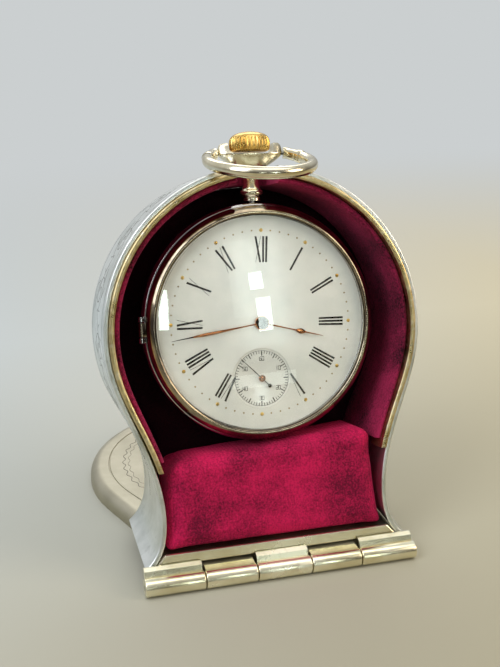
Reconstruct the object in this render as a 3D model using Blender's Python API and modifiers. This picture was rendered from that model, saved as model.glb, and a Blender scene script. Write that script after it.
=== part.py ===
# Travel watch: an open-face pocket watch in a keyhole-shaped travelling case.
# The case leans back on its own lid, which is hinged along the bottom and folded right round.
# Sizes are in metres. World axes: +X to the viewer's right, +Y to the back, +Z up.
# Face axes, used for the case and the watch: X right, Y up along the case, Z towards the viewer.

import math

import bmesh
import bpy
from mathutils import Matrix, Vector

# Clearances
SEAT_GAP = 0.0003
RUN_GAP = 0.00005
FREE_GAP = 0.00015
OVERRUN = 0.001

# Case outline
LEAN = math.radians(14)
CASE_CENTRE_HEIGHT = 0.0492
CASE_WALL = 0.001
CASE_EDGE_ROUND = 0.002
SIDE_ROOM = 0.005
BACK_ROOM = 0.0008
NECK_START = math.radians(-13.3)
NECK_PULL = 0.009
WAIST_PULL = 0.011
WAIST_RISE = 0.0098
FOOT_HALF = 0.0283
FOOT_FLARE = 0.004
FOOT_PULL_DOWN = 0.0044
FOOT_PULL_UP = 0.0022
FOOT_PULL_IN = 0.0029
FOOT_INSET_SHARE = 1.6
ROUND_STEPS = 15
NECK_STEPS = 6
FOOT_STEPS = 4

# Hinge barrel
BARREL_RADIUS = 0.0019
BARREL_OVERHANG = 0.0007
OUTER_SEAM_OFFSET = 0.0167
INNER_SEAM_OFFSET = 0.0058
SEAM_GAP = 0.0002
PIN_RADIUS = 0.0006
KNUCKLE_WEB_RISE = 0.0036
KNUCKLE_WEB_THICKNESS = 0.0013

# Foot plate and sill
PLATE_THICKNESS = 0.001
PLATE_SPLAY = 0.0015
SILL_TOP = 0.0053
SILL_SIDE_GAP = 0.0001
SILL_SPLAY = 0.002
SILL_BEVEL = 0.0003

# Inner lip
LIP_WIDTH = 0.0009
LIP_PROUD = 0.001
LIP_DEPTH = 0.005
LIP_END_DROP = 0.0269
LEDGE_GAP = 0.00025

# Velvet
LINING_THICKNESS = 0.0021
LINING_SETBACK = 0.0005
BACK_PAD_THICKNESS = 0.0043
BACK_PAD_CROWN = 0.0006
BACK_PAD_SHARES = (0.93, 0.7)
CUSHION_SIDE_GAP = 0.0004
CUSHION_RISE = 0.0008
CUSHION_SHOULDER_DROP = 0.0044
CUSHION_SETBACK = 0.0014
CUSHION_CROWN = 0.0009
CUSHION_DRAW_IN_SHARE = 0.985
CUSHION_CROWN_SHARES = (0.96, 0.8, 0.45)

# Pendant slot in the case
SLOT_HALF = 0.0043

# Lid
LID_WALL = 0.0009
LID_PLATE = 0.0008
LID_ROUND = 0.0026
LID_NEAR_EDGE = 0.0022
LID_NOTCH_EDGE = 0.004
LID_POCKET_EDGE = 0.005
LID_PAD_INSET = 0.0025
LID_PAD_THICKNESS = 0.0014
LID_PAD_CROWN = 0.0005
LID_PAD_SHARES = (0.75, 0.95)

# Watch case
WATCH_RAISE = 0.0012
WATCH_ROLL = math.radians(-1)
CRYSTAL_SETBACK = 0.0009
BAND_RADIUS = 0.025
BAND_ROUND = 0.0008
BAND_WALL = 0.0024
BAND_HALF = 0.0032
BEZEL_HEIGHT = 0.0021
BEZEL_STEP = 0.0007
BEZEL_SLOPE = 0.0009
BEZEL_WIDTH = 0.002
BEZEL_LIP_SHARE = 0.85
BEZEL_CHAMFER_SHARE = 0.9
BEZEL_SHOULDER_SHARE = 0.5
CRYSTAL_RISE = 0.0019
CRYSTAL_THICKNESS = 0.0008
BACK_DEPTH = 0.0034
BACK_THICKNESS = 0.0006
DUST_LIFT = 0.0001
DUST_DEPTH = 0.0019
DUST_RIM_WIDTH = 0.0003
DUST_THICKNESS = 0.0004
LUG_PROUD = 0.0001
LUG_RISE = 0.0004
LUG_RADIUS = 0.00055
LUG_PIN_RADIUS = 0.00025
BEZEL_LUG_HALF = 0.0014
BAND_LUG_LENGTH = 0.0011
LUG_WEB_THICKNESS = 0.0005

# Pendant, bow and crown
NECK_RADIUS = 0.0019
NECK_TENON_LENGTH = 0.0007
FLANGE_RADIUS = 0.0024
FLANGE_RISE = 0.0013
FLANGE_HEIGHT = 0.0013
HEAD_SINK = 0.0004
HEAD_HEIGHT = 0.0054
HEAD_HALF = 0.0069
HEAD_DEPTH = 0.004
HEAD_BEVEL = 0.0003
EAR_INNER_HALF = 0.005
EAR_FLOOR_RISE = 0.0032
PIVOT_RISE = 0.0033
STEM_BORE_RADIUS = 0.00075
STEM_RADIUS = 0.0006
STEM_LOW = 0.0126
BOW_RADIUS = 0.0105
BOW_WIRE_RADIUS = 0.00125
BOW_OFFSET = 0.0079
BOW_END_OFFSET = 0.0072
BOW_TURN_SHARES = (0.1, 0.3, 0.6)
BOW_TILT = math.radians(106.7)
BOW_PIN_RADIUS = 0.00045
BOW_PIN_END_OFFSET = 0.0084
CROWN_RADIUS = 0.0043
CROWN_LIFT = 0.0004
CROWN_HEIGHT = 0.0042
CROWN_FLUTES = 20
CROWN_FLUTE_SHARE = 0.06
CROWN_FLUTE_TOP_SHARE = 0.9

# Dial and hands
DIAL_ROLL = math.radians(-2)
DIAL_FACE = 0.0036
DIAL_THICKNESS = 0.0004
DIAL_GAP = 0.0001
SECONDS_OFFSET = 0.0116
HAND_THICKNESS = 0.00014
SECONDS_LEVEL = 0.00378
HOUR_LEVEL = 0.00405
MINUTE_LEVEL = 0.00436
HOUR_LENGTH = 0.0136
MINUTE_LENGTH = 0.0194
SECONDS_LENGTH = 0.0063
SECONDS_TAIL_LENGTH = 0.0023
HOUR_ANGLE = math.radians(102.8)
MINUTE_ANGLE = math.radians(260.2)
SECONDS_ANGLE = math.radians(313)
HAND_WIDTH = 0.0008
HAND_EYE_RADIUS = 0.0011
SECONDS_WIDTH = 0.00022
SECONDS_BALL_RADIUS = 0.0006
HOUR_BULB_SHARES = (0.63, 0.72)
MINUTE_BULB_SHARES = (0.64, 0.45)

# Movement, levels counted forward from the stem's axis
PLATE_TOP = 0.0023
PLATE_LOW = 0.0015
PLATE_GAP = 0.0004
BRIDGE_TOP = -0.0025
BRIDGE_LOW = -0.0036
BRIDGE_STEP = 0.0016
TRAIN_BRIDGE_SHARES = ((-0.2, 0.08), (-0.2, -0.36))
POST_RADIUS = 0.001
POST_INSET = 0.0016
ARBOR_RADIUS = 0.0003
ARBOR_TOP = 0.0013
ARBOR_LOW = -0.0023
WHEEL_THICKNESS = 0.0003
WHEEL_GAP = 0.0003
PINION_RADIUS = 0.0009
PINION_HEIGHT = 0.0006
CENTRE_ARBOR_RADIUS = 0.0005
CENTRE_PINION_RADIUS = 0.0011
CENTRE_WHEEL_RADIUS = 0.0065
CENTRE_WHEEL_LEVEL = -0.0019
THIRD_WHEEL_RADIUS = 0.0054
THIRD_WHEEL_LEVEL = 0.0009
FOURTH_WHEEL_RADIUS = 0.0046
FOURTH_WHEEL_LEVEL = -0.0006
ESCAPE_RADIUS = 0.0032
ESCAPE_LEVEL = 0.0006
ESCAPE_PINION_RADIUS = 0.0007
ESCAPE_TEETH = 15
ESCAPE_TOOTH_SHARES = ((0.76, 0.0), (1.0, 0.38), (0.98, 0.5), (0.76, 0.55))
ESCAPE_BEARING = math.radians(214.8)
BARREL_DRUM_RADIUS = 0.0088
BARREL_BEARING = math.radians(144.8)
BARREL_DRUM_TOP = 0.0012
BARREL_DRUM_LOW = -0.001
BARREL_FLOOR_THICKNESS = 0.0004
BARREL_DRUM_WALL = 0.0006
BARREL_COVER_LEVEL = -0.0013
BARREL_COVER_THICKNESS = 0.0002
SPRING_TURNS = 6
SPRING_INNER_RADIUS = 0.0022
SPRING_ROOM = 0.0004
SPRING_THICKNESS = 0.0003
SPRING_TOP = 0.0005
SPRING_LOW = -0.0008
SPRING_POINTS_PER_TURN = 16
RATCHET_RADIUS = 0.0067
RATCHET_TOP = -0.0039
RATCHET_THICKNESS = 0.0004
CROWN_WHEEL_BEARING = math.radians(90)
CROWN_WHEEL_OFFSET = 0.0135
CROWN_WHEEL_RADIUS = 0.0043
CROWN_WHEEL_HUB_RADIUS = 0.0012
CONTRATE_RADIUS = 0.0048
CONTRATE_TOP = -0.00175
CLICK_LENGTH = 0.003
CLICK_WIDTH = 0.0014
CLICK_OFFSET = 0.0089
CLICK_BEARING = math.radians(88)
CLICK_LEAN = math.radians(40)
BALANCE_EDGE_GAP = 0.0021
BALANCE_BEARING = math.radians(219.6)
BALANCE_RADIUS = 0.0052
BALANCE_RIM_WIDTH = 0.0007
BALANCE_ARM_WIDTH = 0.0006
BALANCE_LEVEL = -0.0011
BALANCE_THICKNESS = 0.0004
ROLLER_RADIUS = 0.0008
ROLLER_TOP = 0.0007
ROLLER_THICKNESS = 0.0005
HAIRSPRING_TURNS = 4
HAIRSPRING_INNER_RADIUS = 0.0012
HAIRSPRING_OUTER_RADIUS = 0.0036
HAIRSPRING_LEVEL = -0.002
HAIRSPRING_HEIGHT = 0.0002
HAIRSPRING_THICKNESS = 0.00012
PALLET_OFFSET = 0.0042
PALLET_ARM_LENGTH = 0.0026
PALLET_STONE_LENGTH = 0.0009
PALLET_FORK_LENGTH = 0.0032
PALLET_WIDTH = 0.0006
PALLET_BRIDGE_LEVEL = -0.00035
PALLET_BRIDGE_THICKNESS = 0.00035
PALLET_POST_OFFSET = 0.0048
PALLET_POST_BEARING = math.radians(231.5)
COCK_WIDTH = 0.003
MINUTE_WHEEL_BEARING = math.radians(60)
MINUTE_WHEEL_LEVEL = 0.00262
MINUTE_PINION_RADIUS = 0.0008
CANNON_RADIUS = 0.0008
CANNON_PINION_RADIUS = 0.0015
HOUR_PIPE_RADIUS = 0.0012
HOUR_WHEEL_RADIUS = 0.0035
HOUR_WHEEL_LEVEL = 0.00295
MOTION_THICKNESS = 0.00017
PINION_LOW = 0.0174
PINION_LENGTH = 0.002
WINDING_PINION_RADIUS = 0.0014
CASTLE_LOW = 0.0149
CASTLE_RADIUS = 0.0012
SCREW_HEAD_RADIUS = 0.0008
SCREW_HEAD_HEIGHT = 0.0003
SCREW_RADIUS = 0.0004
SCREW_SLOT_WIDTH = 0.0002

# Mesh counts
WATCH_STEPS = 48
WHEEL_STEPS = 20
SMALL_STEPS = 12

# Derived places
BAND_EDGE_RADIUS = BAND_RADIUS - BAND_ROUND
BAND_INNER_RADIUS = BAND_RADIUS - BAND_WALL
BEZEL_LOW = BAND_HALF + SEAT_GAP
BEZEL_HIGH = BEZEL_LOW + BEZEL_HEIGHT
BEZEL_RADIUS = BAND_RADIUS - BEZEL_STEP
BEZEL_FACE_RADIUS = BEZEL_RADIUS - BEZEL_SLOPE
BEZEL_BORE_RADIUS = BEZEL_RADIUS - BEZEL_WIDTH
CRYSTAL_RADIUS = BEZEL_BORE_RADIUS - SEAT_GAP
CRYSTAL_EDGE = BEZEL_HIGH - SEAT_GAP
CRYSTAL_TOP = CRYSTAL_EDGE + CRYSTAL_RISE
DIAL_RADIUS = BEZEL_BORE_RADIUS - DIAL_GAP
BACK_TOP = -BAND_HALF - SEAT_GAP
BACK_APEX = BACK_TOP - BACK_DEPTH
PLATE_RADIUS = BAND_INNER_RADIUS - PLATE_GAP
DUST_RADIUS = PLATE_RADIUS
DUST_TOP = BACK_TOP + DUST_LIFT
HINGE_OFFSET = BAND_RADIUS + LUG_PROUD
HINGE_LEVEL = BAND_HALF + LUG_RISE
BRIDGE_RADIUS = PLATE_RADIUS - BRIDGE_STEP
POST_RING_RADIUS = BRIDGE_RADIUS - POST_INSET
SPRING_OUTER_RADIUS = BARREL_DRUM_RADIUS - BARREL_DRUM_WALL - SPRING_ROOM
MINUTE_WHEEL_OFFSET = HOUR_WHEEL_RADIUS + MINUTE_PINION_RADIUS + WHEEL_GAP
MINUTE_WHEEL_RADIUS = MINUTE_WHEEL_OFFSET - CANNON_PINION_RADIUS - WHEEL_GAP
BALANCE_OFFSET = PLATE_RADIUS - BALANCE_RADIUS - BALANCE_EDGE_GAP
PENDANT_DEPTH = CRYSTAL_TOP + CRYSTAL_SETBACK
WAIST_HALF = FOOT_HALF - FOOT_FLARE
SILL_HALF = WAIST_HALF - SILL_SIDE_GAP
BARREL_HALF = FOOT_HALF + BARREL_OVERHANG
CASE_RADIUS = BAND_RADIUS + SIDE_ROOM + LINING_THICKNESS + SEAT_GAP + CASE_WALL
BACK_PAD_HEIGHT = BACK_PAD_THICKNESS + BACK_PAD_CROWN
CASE_DEPTH = PENDANT_DEPTH - BACK_APEX + BACK_ROOM + BACK_PAD_HEIGHT + SEAT_GAP + CASE_WALL
WATCH_CENTRE_HEIGHT = CASE_CENTRE_HEIGHT + WATCH_RAISE
CUSHION_TOP = WATCH_CENTRE_HEIGHT - BAND_RADIUS + CUSHION_RISE
CUSHION_SHOULDER = CUSHION_TOP - CUSHION_SHOULDER_DROP
LINING_FOOT = CUSHION_TOP + SEAT_GAP
LIP_END_HEIGHT = CASE_CENTRE_HEIGHT - LIP_END_DROP
FLANGE_LOW = BAND_RADIUS + FLANGE_RISE
FLANGE_HIGH = FLANGE_LOW + FLANGE_HEIGHT
HEAD_BOTTOM = CASE_RADIUS - WATCH_RAISE - HEAD_SINK
HEAD_TOP = HEAD_BOTTOM + HEAD_HEIGHT
NECK_TOP = HEAD_BOTTOM + NECK_TENON_LENGTH
EAR_FLOOR = HEAD_BOTTOM + EAR_FLOOR_RISE
PIVOT_HEIGHT = HEAD_BOTTOM + PIVOT_RISE
CROWN_LOW = EAR_FLOOR + CROWN_LIFT
RIM_Z = -(BARREL_RADIUS + SEAT_GAP)
BACK_Z = RIM_Z - CASE_DEPTH
FOOT_CLEAR = BARREL_RADIUS + SEAT_GAP
WATCH_Z = RIM_Z - PENDANT_DEPTH
INNER_BACK_Z = BACK_Z + CASE_WALL
LINING_INSET = CASE_WALL + SEAT_GAP
LINING_INNER = LINING_INSET + LINING_THICKNESS
LIP_INSET = CASE_WALL + LEDGE_GAP
LINING_BACK_Z = INNER_BACK_Z + SEAT_GAP
LIP_BACK_Z = RIM_Z - LIP_DEPTH
LIP_FOOT = (FOOT_CLEAR - math.sin(LEAN) * LIP_BACK_Z) / math.cos(LEAN)
HINGE_Y = (BARREL_RADIUS - CASE_CENTRE_HEIGHT - CASE_RADIUS) / 2


def clear_scene():
    for thing in list(bpy.data.objects):
        bpy.data.objects.remove(thing, do_unlink=True)


clear_scene()
parts = bpy.data.collections.new("travel_watch")
cutters = bpy.data.collections.new("cutters")
bpy.context.scene.collection.children.link(parts)
bpy.context.scene.collection.children.link(cutters)
cutters.hide_render = True


# Materials

def paint(name, colour, metallic, roughness):
    made = bpy.data.materials.new(name)
    made.use_nodes = True
    shader = made.node_tree.nodes["Principled BSDF"]
    shader.inputs["Base Color"].default_value = (*colour, 1)
    shader.inputs["Metallic"].default_value = metallic
    shader.inputs["Roughness"].default_value = roughness
    return made


silver = paint("polished_silver", (0.78, 0.76, 0.72), 1, 0.22)
gilt = paint("worn_gilt", (0.78, 0.62, 0.36), 1, 0.25)
velvet = paint("burgundy_velvet", (0.24, 0.01, 0.05), 0, 0.85)
gold = paint("yellow_gold", (0.85, 0.6, 0.22), 1, 0.28)
rose_gold = paint("rose_gold", (0.62, 0.3, 0.16), 1, 0.3)
enamel = paint("ivory_dial", (0.9, 0.87, 0.8), 0, 0.3)
blued = paint("blued_steel", (0.05, 0.06, 0.16), 1, 0.3)
steel = paint("steel", (0.5, 0.5, 0.5), 1, 0.35)
brass = paint("brass", (0.72, 0.52, 0.22), 1, 0.35)
nickel = paint("nickel_silver", (0.66, 0.64, 0.58), 1, 0.35)
glass = paint("crystal_glass", (0.95, 0.97, 0.97), 0, 0.02)
glass.node_tree.nodes["Principled BSDF"].inputs["Transmission Weight"].default_value = 1


# Frames that carry the pieces

def empty(name, parent=None, location=(0, 0, 0), turn=(0, 0, 0)):
    made = bpy.data.objects.new(name, None)
    parts.objects.link(made)
    made.parent = parent
    made.location = location
    made.rotation_euler = turn
    return made


hinge_frame = empty("hinge_frame", None, (0, HINGE_Y, BARREL_RADIUS))
face_frame = empty("face_frame", hinge_frame, turn=(math.pi / 2 - LEAN, 0, 0))
watch_frame = empty("watch_frame", face_frame, (0, WATCH_CENTRE_HEIGHT, WATCH_Z), (0, 0, WATCH_ROLL))
dial_frame = empty("dial_frame", watch_frame, turn=(0, 0, DIAL_ROLL))
bow_frame = empty("bow_frame", watch_frame, (0, PIVOT_HEIGHT, 0), (BOW_TILT, 0, 0))


# Shape helpers

def hold(name, mesh, frame, finish, location=(0, 0, 0), turn=(0, 0, 0), cutter=False):
    made = bpy.data.objects.new(name, mesh)
    (cutters if cutter else parts).objects.link(made)
    made.parent = frame
    made.location = location
    made.rotation_euler = turn
    if cutter:
        made.hide_render = True
        made.display_type = "WIRE"
    else:
        mesh.materials.clear()
        mesh.materials.append(finish)
    return made


def as_mesh(name, source):
    bpy.context.view_layer.update()
    graph = bpy.context.evaluated_depsgraph_get()
    mesh = bpy.data.meshes.new_from_object(source.evaluated_get(graph))
    mesh.name = name
    bpy.data.objects.remove(source, do_unlink=True)
    work = bmesh.new()
    work.from_mesh(mesh)
    bmesh.ops.remove_doubles(work, verts=work.verts, dist=RUN_GAP / 50)
    bmesh.ops.recalc_face_normals(work, faces=work.faces)
    work.to_mesh(mesh)
    work.free()
    return mesh


# A flat piece: closed outlines, the first the outer one and the rest holes, between two levels.
def flat_mesh(name, loops, low, high):
    curve = bpy.data.curves.new(name, "CURVE")
    curve.dimensions = "2D"
    curve.fill_mode = "BOTH"
    curve.extrude = (high - low) / 2
    for loop in loops:
        spline = curve.splines.new("POLY")
        spline.points.add(len(loop) - 1)
        for point, (x, y) in zip(spline.points, loop):
            point.co = (x, y, 0, 1)
        spline.use_cyclic_u = True
    source = bpy.data.objects.new(name, curve)
    parts.objects.link(source)
    mesh = as_mesh(name, source)
    mesh.transform(Matrix.Translation((0, 0, (high + low) / 2)))
    return mesh


# A turned piece: the profile runs (radius, level) down its outer side, top to bottom.
def turned_mesh(name, profile, steps, closed=False):
    mesh = bpy.data.meshes.new(name)
    count = len(profile)
    edges = [(i, i + 1) for i in range(count - 1)]
    if closed:
        edges.append((count - 1, 0))
    mesh.from_pydata([(radius, 0, level) for radius, level in profile], edges, [])
    source = bpy.data.objects.new(name, mesh)
    parts.objects.link(source)
    screw = source.modifiers.new("turn", "SCREW")
    screw.axis = "Z"
    screw.steps = steps
    screw.render_steps = steps
    screw.use_merge_vertices = True
    screw.merge_threshold = RUN_GAP / 50
    return as_mesh(name, source)


# A lofted piece: closed rings of equally many points, anticlockwise seen from +Z, lowest first.
def loft_mesh(name, rings):
    work = bmesh.new()
    rows = [[work.verts.new(point) for point in ring] for ring in rings]
    count = len(rows[0])
    for low, high in zip(rows, rows[1:]):
        for i in range(count):
            j = (i + 1) % count
            work.faces.new((low[i], low[j], high[j], high[i]))
    # A slightly twisted side face upsets a Boolean, so the sides are split into triangles first.
    bmesh.ops.triangulate(work, faces=work.faces)
    work.faces.new(list(reversed(rows[0])))
    work.faces.new(rows[-1])
    mesh = bpy.data.meshes.new(name)
    work.to_mesh(mesh)
    work.free()
    return mesh


def tube_mesh(name, points, radius):
    curve = bpy.data.curves.new(name, "CURVE")
    curve.dimensions = "3D"
    curve.bevel_depth = radius
    curve.bevel_resolution = 2
    curve.use_fill_caps = True
    spline = curve.splines.new("POLY")
    spline.points.add(len(points) - 1)
    for point, place in zip(spline.points, points):
        point.co = (*place, 1)
    source = bpy.data.objects.new(name, curve)
    parts.objects.link(source)
    return as_mesh(name, source)


def box_mesh(name, low, high):
    mesh = bpy.data.meshes.new(name)
    work = bmesh.new()
    bmesh.ops.create_cube(work, size=1)
    middle = (Vector(low) + Vector(high)) / 2
    size = Vector(high) - Vector(low)
    bmesh.ops.scale(work, vec=size, verts=work.verts)
    bmesh.ops.translate(work, vec=middle, verts=work.verts)
    work.to_mesh(mesh)
    work.free()
    return mesh


def rod_profile(radius, low, high):
    return [(0, high), (radius, high), (radius, low), (0, low)]


def tube_profile(bore, radius, low, high):
    return [(bore, high), (radius, high), (radius, low), (bore, low)]


# An arbor with discs on it, given as (radius, top, thickness) from the front to the back.
def stepped_profile(arbor, top, low, discs):
    profile = [(0, top), (arbor, top)]
    for radius, disc_top, thickness in discs:
        profile += [(arbor, disc_top), (radius, disc_top)]
        profile += [(radius, disc_top - thickness), (arbor, disc_top - thickness)]
    return profile + [(arbor, low), (0, low)]


def combine(body, other, how):
    change = body.modifiers.new(how.lower(), "BOOLEAN")
    change.operation = how
    change.solver = "EXACT"
    change.object = other
    other.hide_render = True
    other.display_type = "WIRE"


def cut(body, other):
    combine(body, other, "DIFFERENCE")


def join(body, other):
    combine(body, other, "UNION")


def soften(body, width, segments=2, limit=math.radians(40)):
    weld = body.modifiers.new("weld", "WELD")
    weld.merge_threshold = RUN_GAP / 50
    bevel = body.modifiers.new("round", "BEVEL")
    bevel.width = width
    bevel.segments = segments
    bevel.limit_method = "ANGLE"
    bevel.angle_limit = limit


def circle(radius, steps, centre=(0, 0)):
    turns = [2 * math.pi * i / steps for i in range(steps)]
    return [(centre[0] + radius * math.cos(a), centre[1] + radius * math.sin(a)) for a in turns]


def polar(distance, bearing):
    return (distance * math.cos(bearing), distance * math.sin(bearing))


# The keyhole outline

def bezier(start, pull, push, end, steps):
    points = []
    for i in range(1, steps + 1):
        t = i / steps
        weights = ((1 - t) ** 3, 3 * t * (1 - t) ** 2, 3 * t * t * (1 - t), t ** 3)
        knots = (start, pull, push, end)
        points.append(tuple(sum(w * k[axis] for w, k in zip(weights, knots)) for axis in (0, 1)))
    return points


def foot_height(z, clear=FOOT_CLEAR):
    return (clear - math.sin(LEAN) * z) / math.cos(LEAN)


# Right half from the top to the foot: a circle, a concave neck, then a flared foot or a straight leg.
def half_outline(inset, foot, leg_end=None):
    radius = CASE_RADIUS - inset
    points = []
    for i in range(ROUND_STEPS + 1):
        a = math.pi / 2 + (NECK_START - math.pi / 2) * i / ROUND_STEPS
        points.append((radius * math.cos(a), CASE_CENTRE_HEIGHT + radius * math.sin(a)))
    start = points[-1]
    pull = (start[0] + NECK_PULL * math.sin(NECK_START), start[1] - NECK_PULL * math.cos(NECK_START))
    waist = (WAIST_HALF - inset, foot + WAIST_RISE)
    points += bezier(start, pull, (waist[0], waist[1] + WAIST_PULL), waist, NECK_STEPS)
    if leg_end is not None:
        return points + [(waist[0], leg_end)]
    tip = (FOOT_HALF - inset * FOOT_INSET_SHARE, foot)
    low = (waist[0], waist[1] - FOOT_PULL_DOWN)
    side = (tip[0] - FOOT_PULL_IN + inset * (FOOT_INSET_SHARE - 1), foot + FOOT_PULL_UP)
    return points + bezier(waist, low, side, tip, FOOT_STEPS)


def mirrored(half):
    return list(reversed(half)) + [(-x, y) for x, y in half[1:]]


def trimmed(half, floor):
    kept = [point for point in half if point[1] > floor + FREE_GAP]
    below = half[len(kept)] if len(kept) < len(half) else kept[-1]
    above = kept[-1]
    share = (above[1] - floor) / (above[1] - below[1]) if above[1] > below[1] else 0
    return kept + [(above[0] + (below[0] - above[0]) * share, floor)]


def at_level(outline, z):
    return [(x, y, z) for x, y in outline]


def case_ring(inset, z, drop=0):
    half = half_outline(inset, foot_height(z))
    if drop:
        half.append((half[-1][0], half[-1][1] - drop))
    return at_level(mirrored(half), z)


def leg_ring(inset, z, leg_end):
    return at_level(mirrored(half_outline(inset, foot_height(z), leg_end)), z)


def rounding(radius, steps=3):
    turns = [math.pi / 2 * i / steps for i in range(steps + 1)]
    return [(radius * (1 - math.cos(a)), radius * (1 - math.sin(a))) for a in turns]


# The U slot that lets the pendant in from the front
def slot_cutter(name):
    half = SLOT_HALF
    arc = [math.pi + math.pi * i / 8 for i in range(9)]
    outline = [(half * math.cos(a), WATCH_Z + half * math.sin(a)) for a in arc]
    front = RIM_Z + LIP_PROUD + OVERRUN
    outline += [(half, front), (-half, front)]
    low = CASE_CENTRE_HEIGHT + BAND_RADIUS
    high = CASE_CENTRE_HEIGHT + CASE_RADIUS + OVERRUN
    mesh = flat_mesh(name, [outline], -high, -low)
    return hold(name, mesh, face_frame, None, turn=(math.pi / 2, 0, 0), cutter=True)


def build_case():
    rings = [case_ring(inset, BACK_Z + rise) for inset, rise in reversed(rounding(CASE_EDGE_ROUND))]
    rings.append(case_ring(0, RIM_Z))
    shell = hold("case_shell", loft_mesh("case_shell", rings), face_frame, silver)
    hollow = [case_ring(CASE_WALL, z, OVERRUN) for z in (INNER_BACK_Z, RIM_Z + OVERRUN)]
    cut(shell, hold("case_hollow", loft_mesh("case_hollow", hollow), face_frame, None, cutter=True))
    cut(shell, slot_cutter("case_slot"))

    # The lip is cut by the slot into a left and a right arc.
    for side, sign in (("left", -1), ("right", 1)):
        name = "rim_lip_" + side
        loop = trimmed(half_outline(LIP_INSET, LIP_FOOT), LIP_END_HEIGHT)
        loop += reversed(trimmed(half_outline(LIP_INSET + LIP_WIDTH, LIP_FOOT), LIP_END_HEIGHT))
        loop = [(sign * x, y) for x, y in loop]
        mesh = flat_mesh(name, [loop], RIM_Z - LIP_DEPTH, RIM_Z + LIP_PROUD)
        cut(hold(name, mesh, face_frame, gilt), slot_cutter(name + "_slot"))

    front = foot_height(RIM_Z - CASE_WALL)
    sill_half = [(SILL_HALF, SILL_TOP), (SILL_HALF + SILL_SPLAY, front)]
    sill_outline = mirrored([(0, SILL_TOP)] + sill_half)
    sill = flat_mesh("front_sill", [sill_outline], RIM_Z - CASE_WALL, RIM_Z)
    soften(hold("front_sill", sill, face_frame, silver), SILL_BEVEL)

    # The foot plate is level in the world: it closes the case above the folded lid.
    plate_front = -(RIM_Z - CASE_WALL) * math.cos(LEAN) + front * math.sin(LEAN) + SEAT_GAP
    plate_back = -INNER_BACK_Z * math.cos(LEAN) + foot_height(INNER_BACK_Z) * math.sin(LEAN) - SEAT_GAP
    plate_low = FOOT_CLEAR
    top_half = FOOT_HALF - CASE_WALL * FOOT_INSET_SHARE - PLATE_SPLAY - SEAT_GAP
    rows = []
    for y in (plate_back, plate_front):
        rows.append([(top_half + PLATE_SPLAY, y, plate_low), (top_half, y, plate_low + PLATE_THICKNESS),
                     (-top_half, y, plate_low + PLATE_THICKNESS), (-top_half - PLATE_SPLAY, y, plate_low)])
    rows.reverse()
    plate = loft_mesh("foot_plate", [list(reversed(row)) for row in rows])
    hold("foot_plate", plate, hinge_frame, silver)


def build_hinge():
    spans = {
        "case_knuckle_left": (-BARREL_HALF, -OUTER_SEAM_OFFSET, True),
        "lid_knuckle_left": (-OUTER_SEAM_OFFSET, -INNER_SEAM_OFFSET, False),
        "case_knuckle_middle": (-INNER_SEAM_OFFSET, INNER_SEAM_OFFSET, True),
        "lid_knuckle_right": (INNER_SEAM_OFFSET, OUTER_SEAM_OFFSET, False),
        "case_knuckle_right": (OUTER_SEAM_OFFSET, BARREL_HALF, True),
    }
    bore = PIN_RADIUS + RUN_GAP
    for name, (left, right, on_case) in spans.items():
        left += 0 if left == -BARREL_HALF else SEAM_GAP / 2
        right -= 0 if right == BARREL_HALF else SEAM_GAP / 2
        frame = face_frame if on_case else hinge_frame
        if not on_case:
            mesh = turned_mesh(name, tube_profile(bore, BARREL_RADIUS, left, right), WHEEL_STEPS, True)
            hold(name, mesh, frame, silver, turn=(0, math.pi / 2, 0))
            continue
        mesh = turned_mesh(name, rod_profile(BARREL_RADIUS, left, right), WHEEL_STEPS)
        knuckle = hold(name, mesh, frame, silver, turn=(0, math.pi / 2, 0))
        web_back = RIM_Z + SEAT_GAP
        low = (left + SEAT_GAP, PIN_RADIUS, web_back)
        high = (right - SEAT_GAP, KNUCKLE_WEB_RISE, web_back + KNUCKLE_WEB_THICKNESS)
        join(knuckle, hold(name + "_web", box_mesh(name + "_web", low, high), frame, None, cutter=True))
        hole = turned_mesh(name + "_bore", rod_profile(bore, left - OVERRUN, right + OVERRUN), WHEEL_STEPS)
        cut(knuckle, hold(name + "_bore", hole, frame, None, turn=(0, math.pi / 2, 0), cutter=True))
    pin = turned_mesh("hinge_pin", rod_profile(PIN_RADIUS, -BARREL_HALF, BARREL_HALF), WHEEL_STEPS)
    hold("hinge_pin", pin, face_frame, steel, turn=(0, math.pi / 2, 0))


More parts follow.
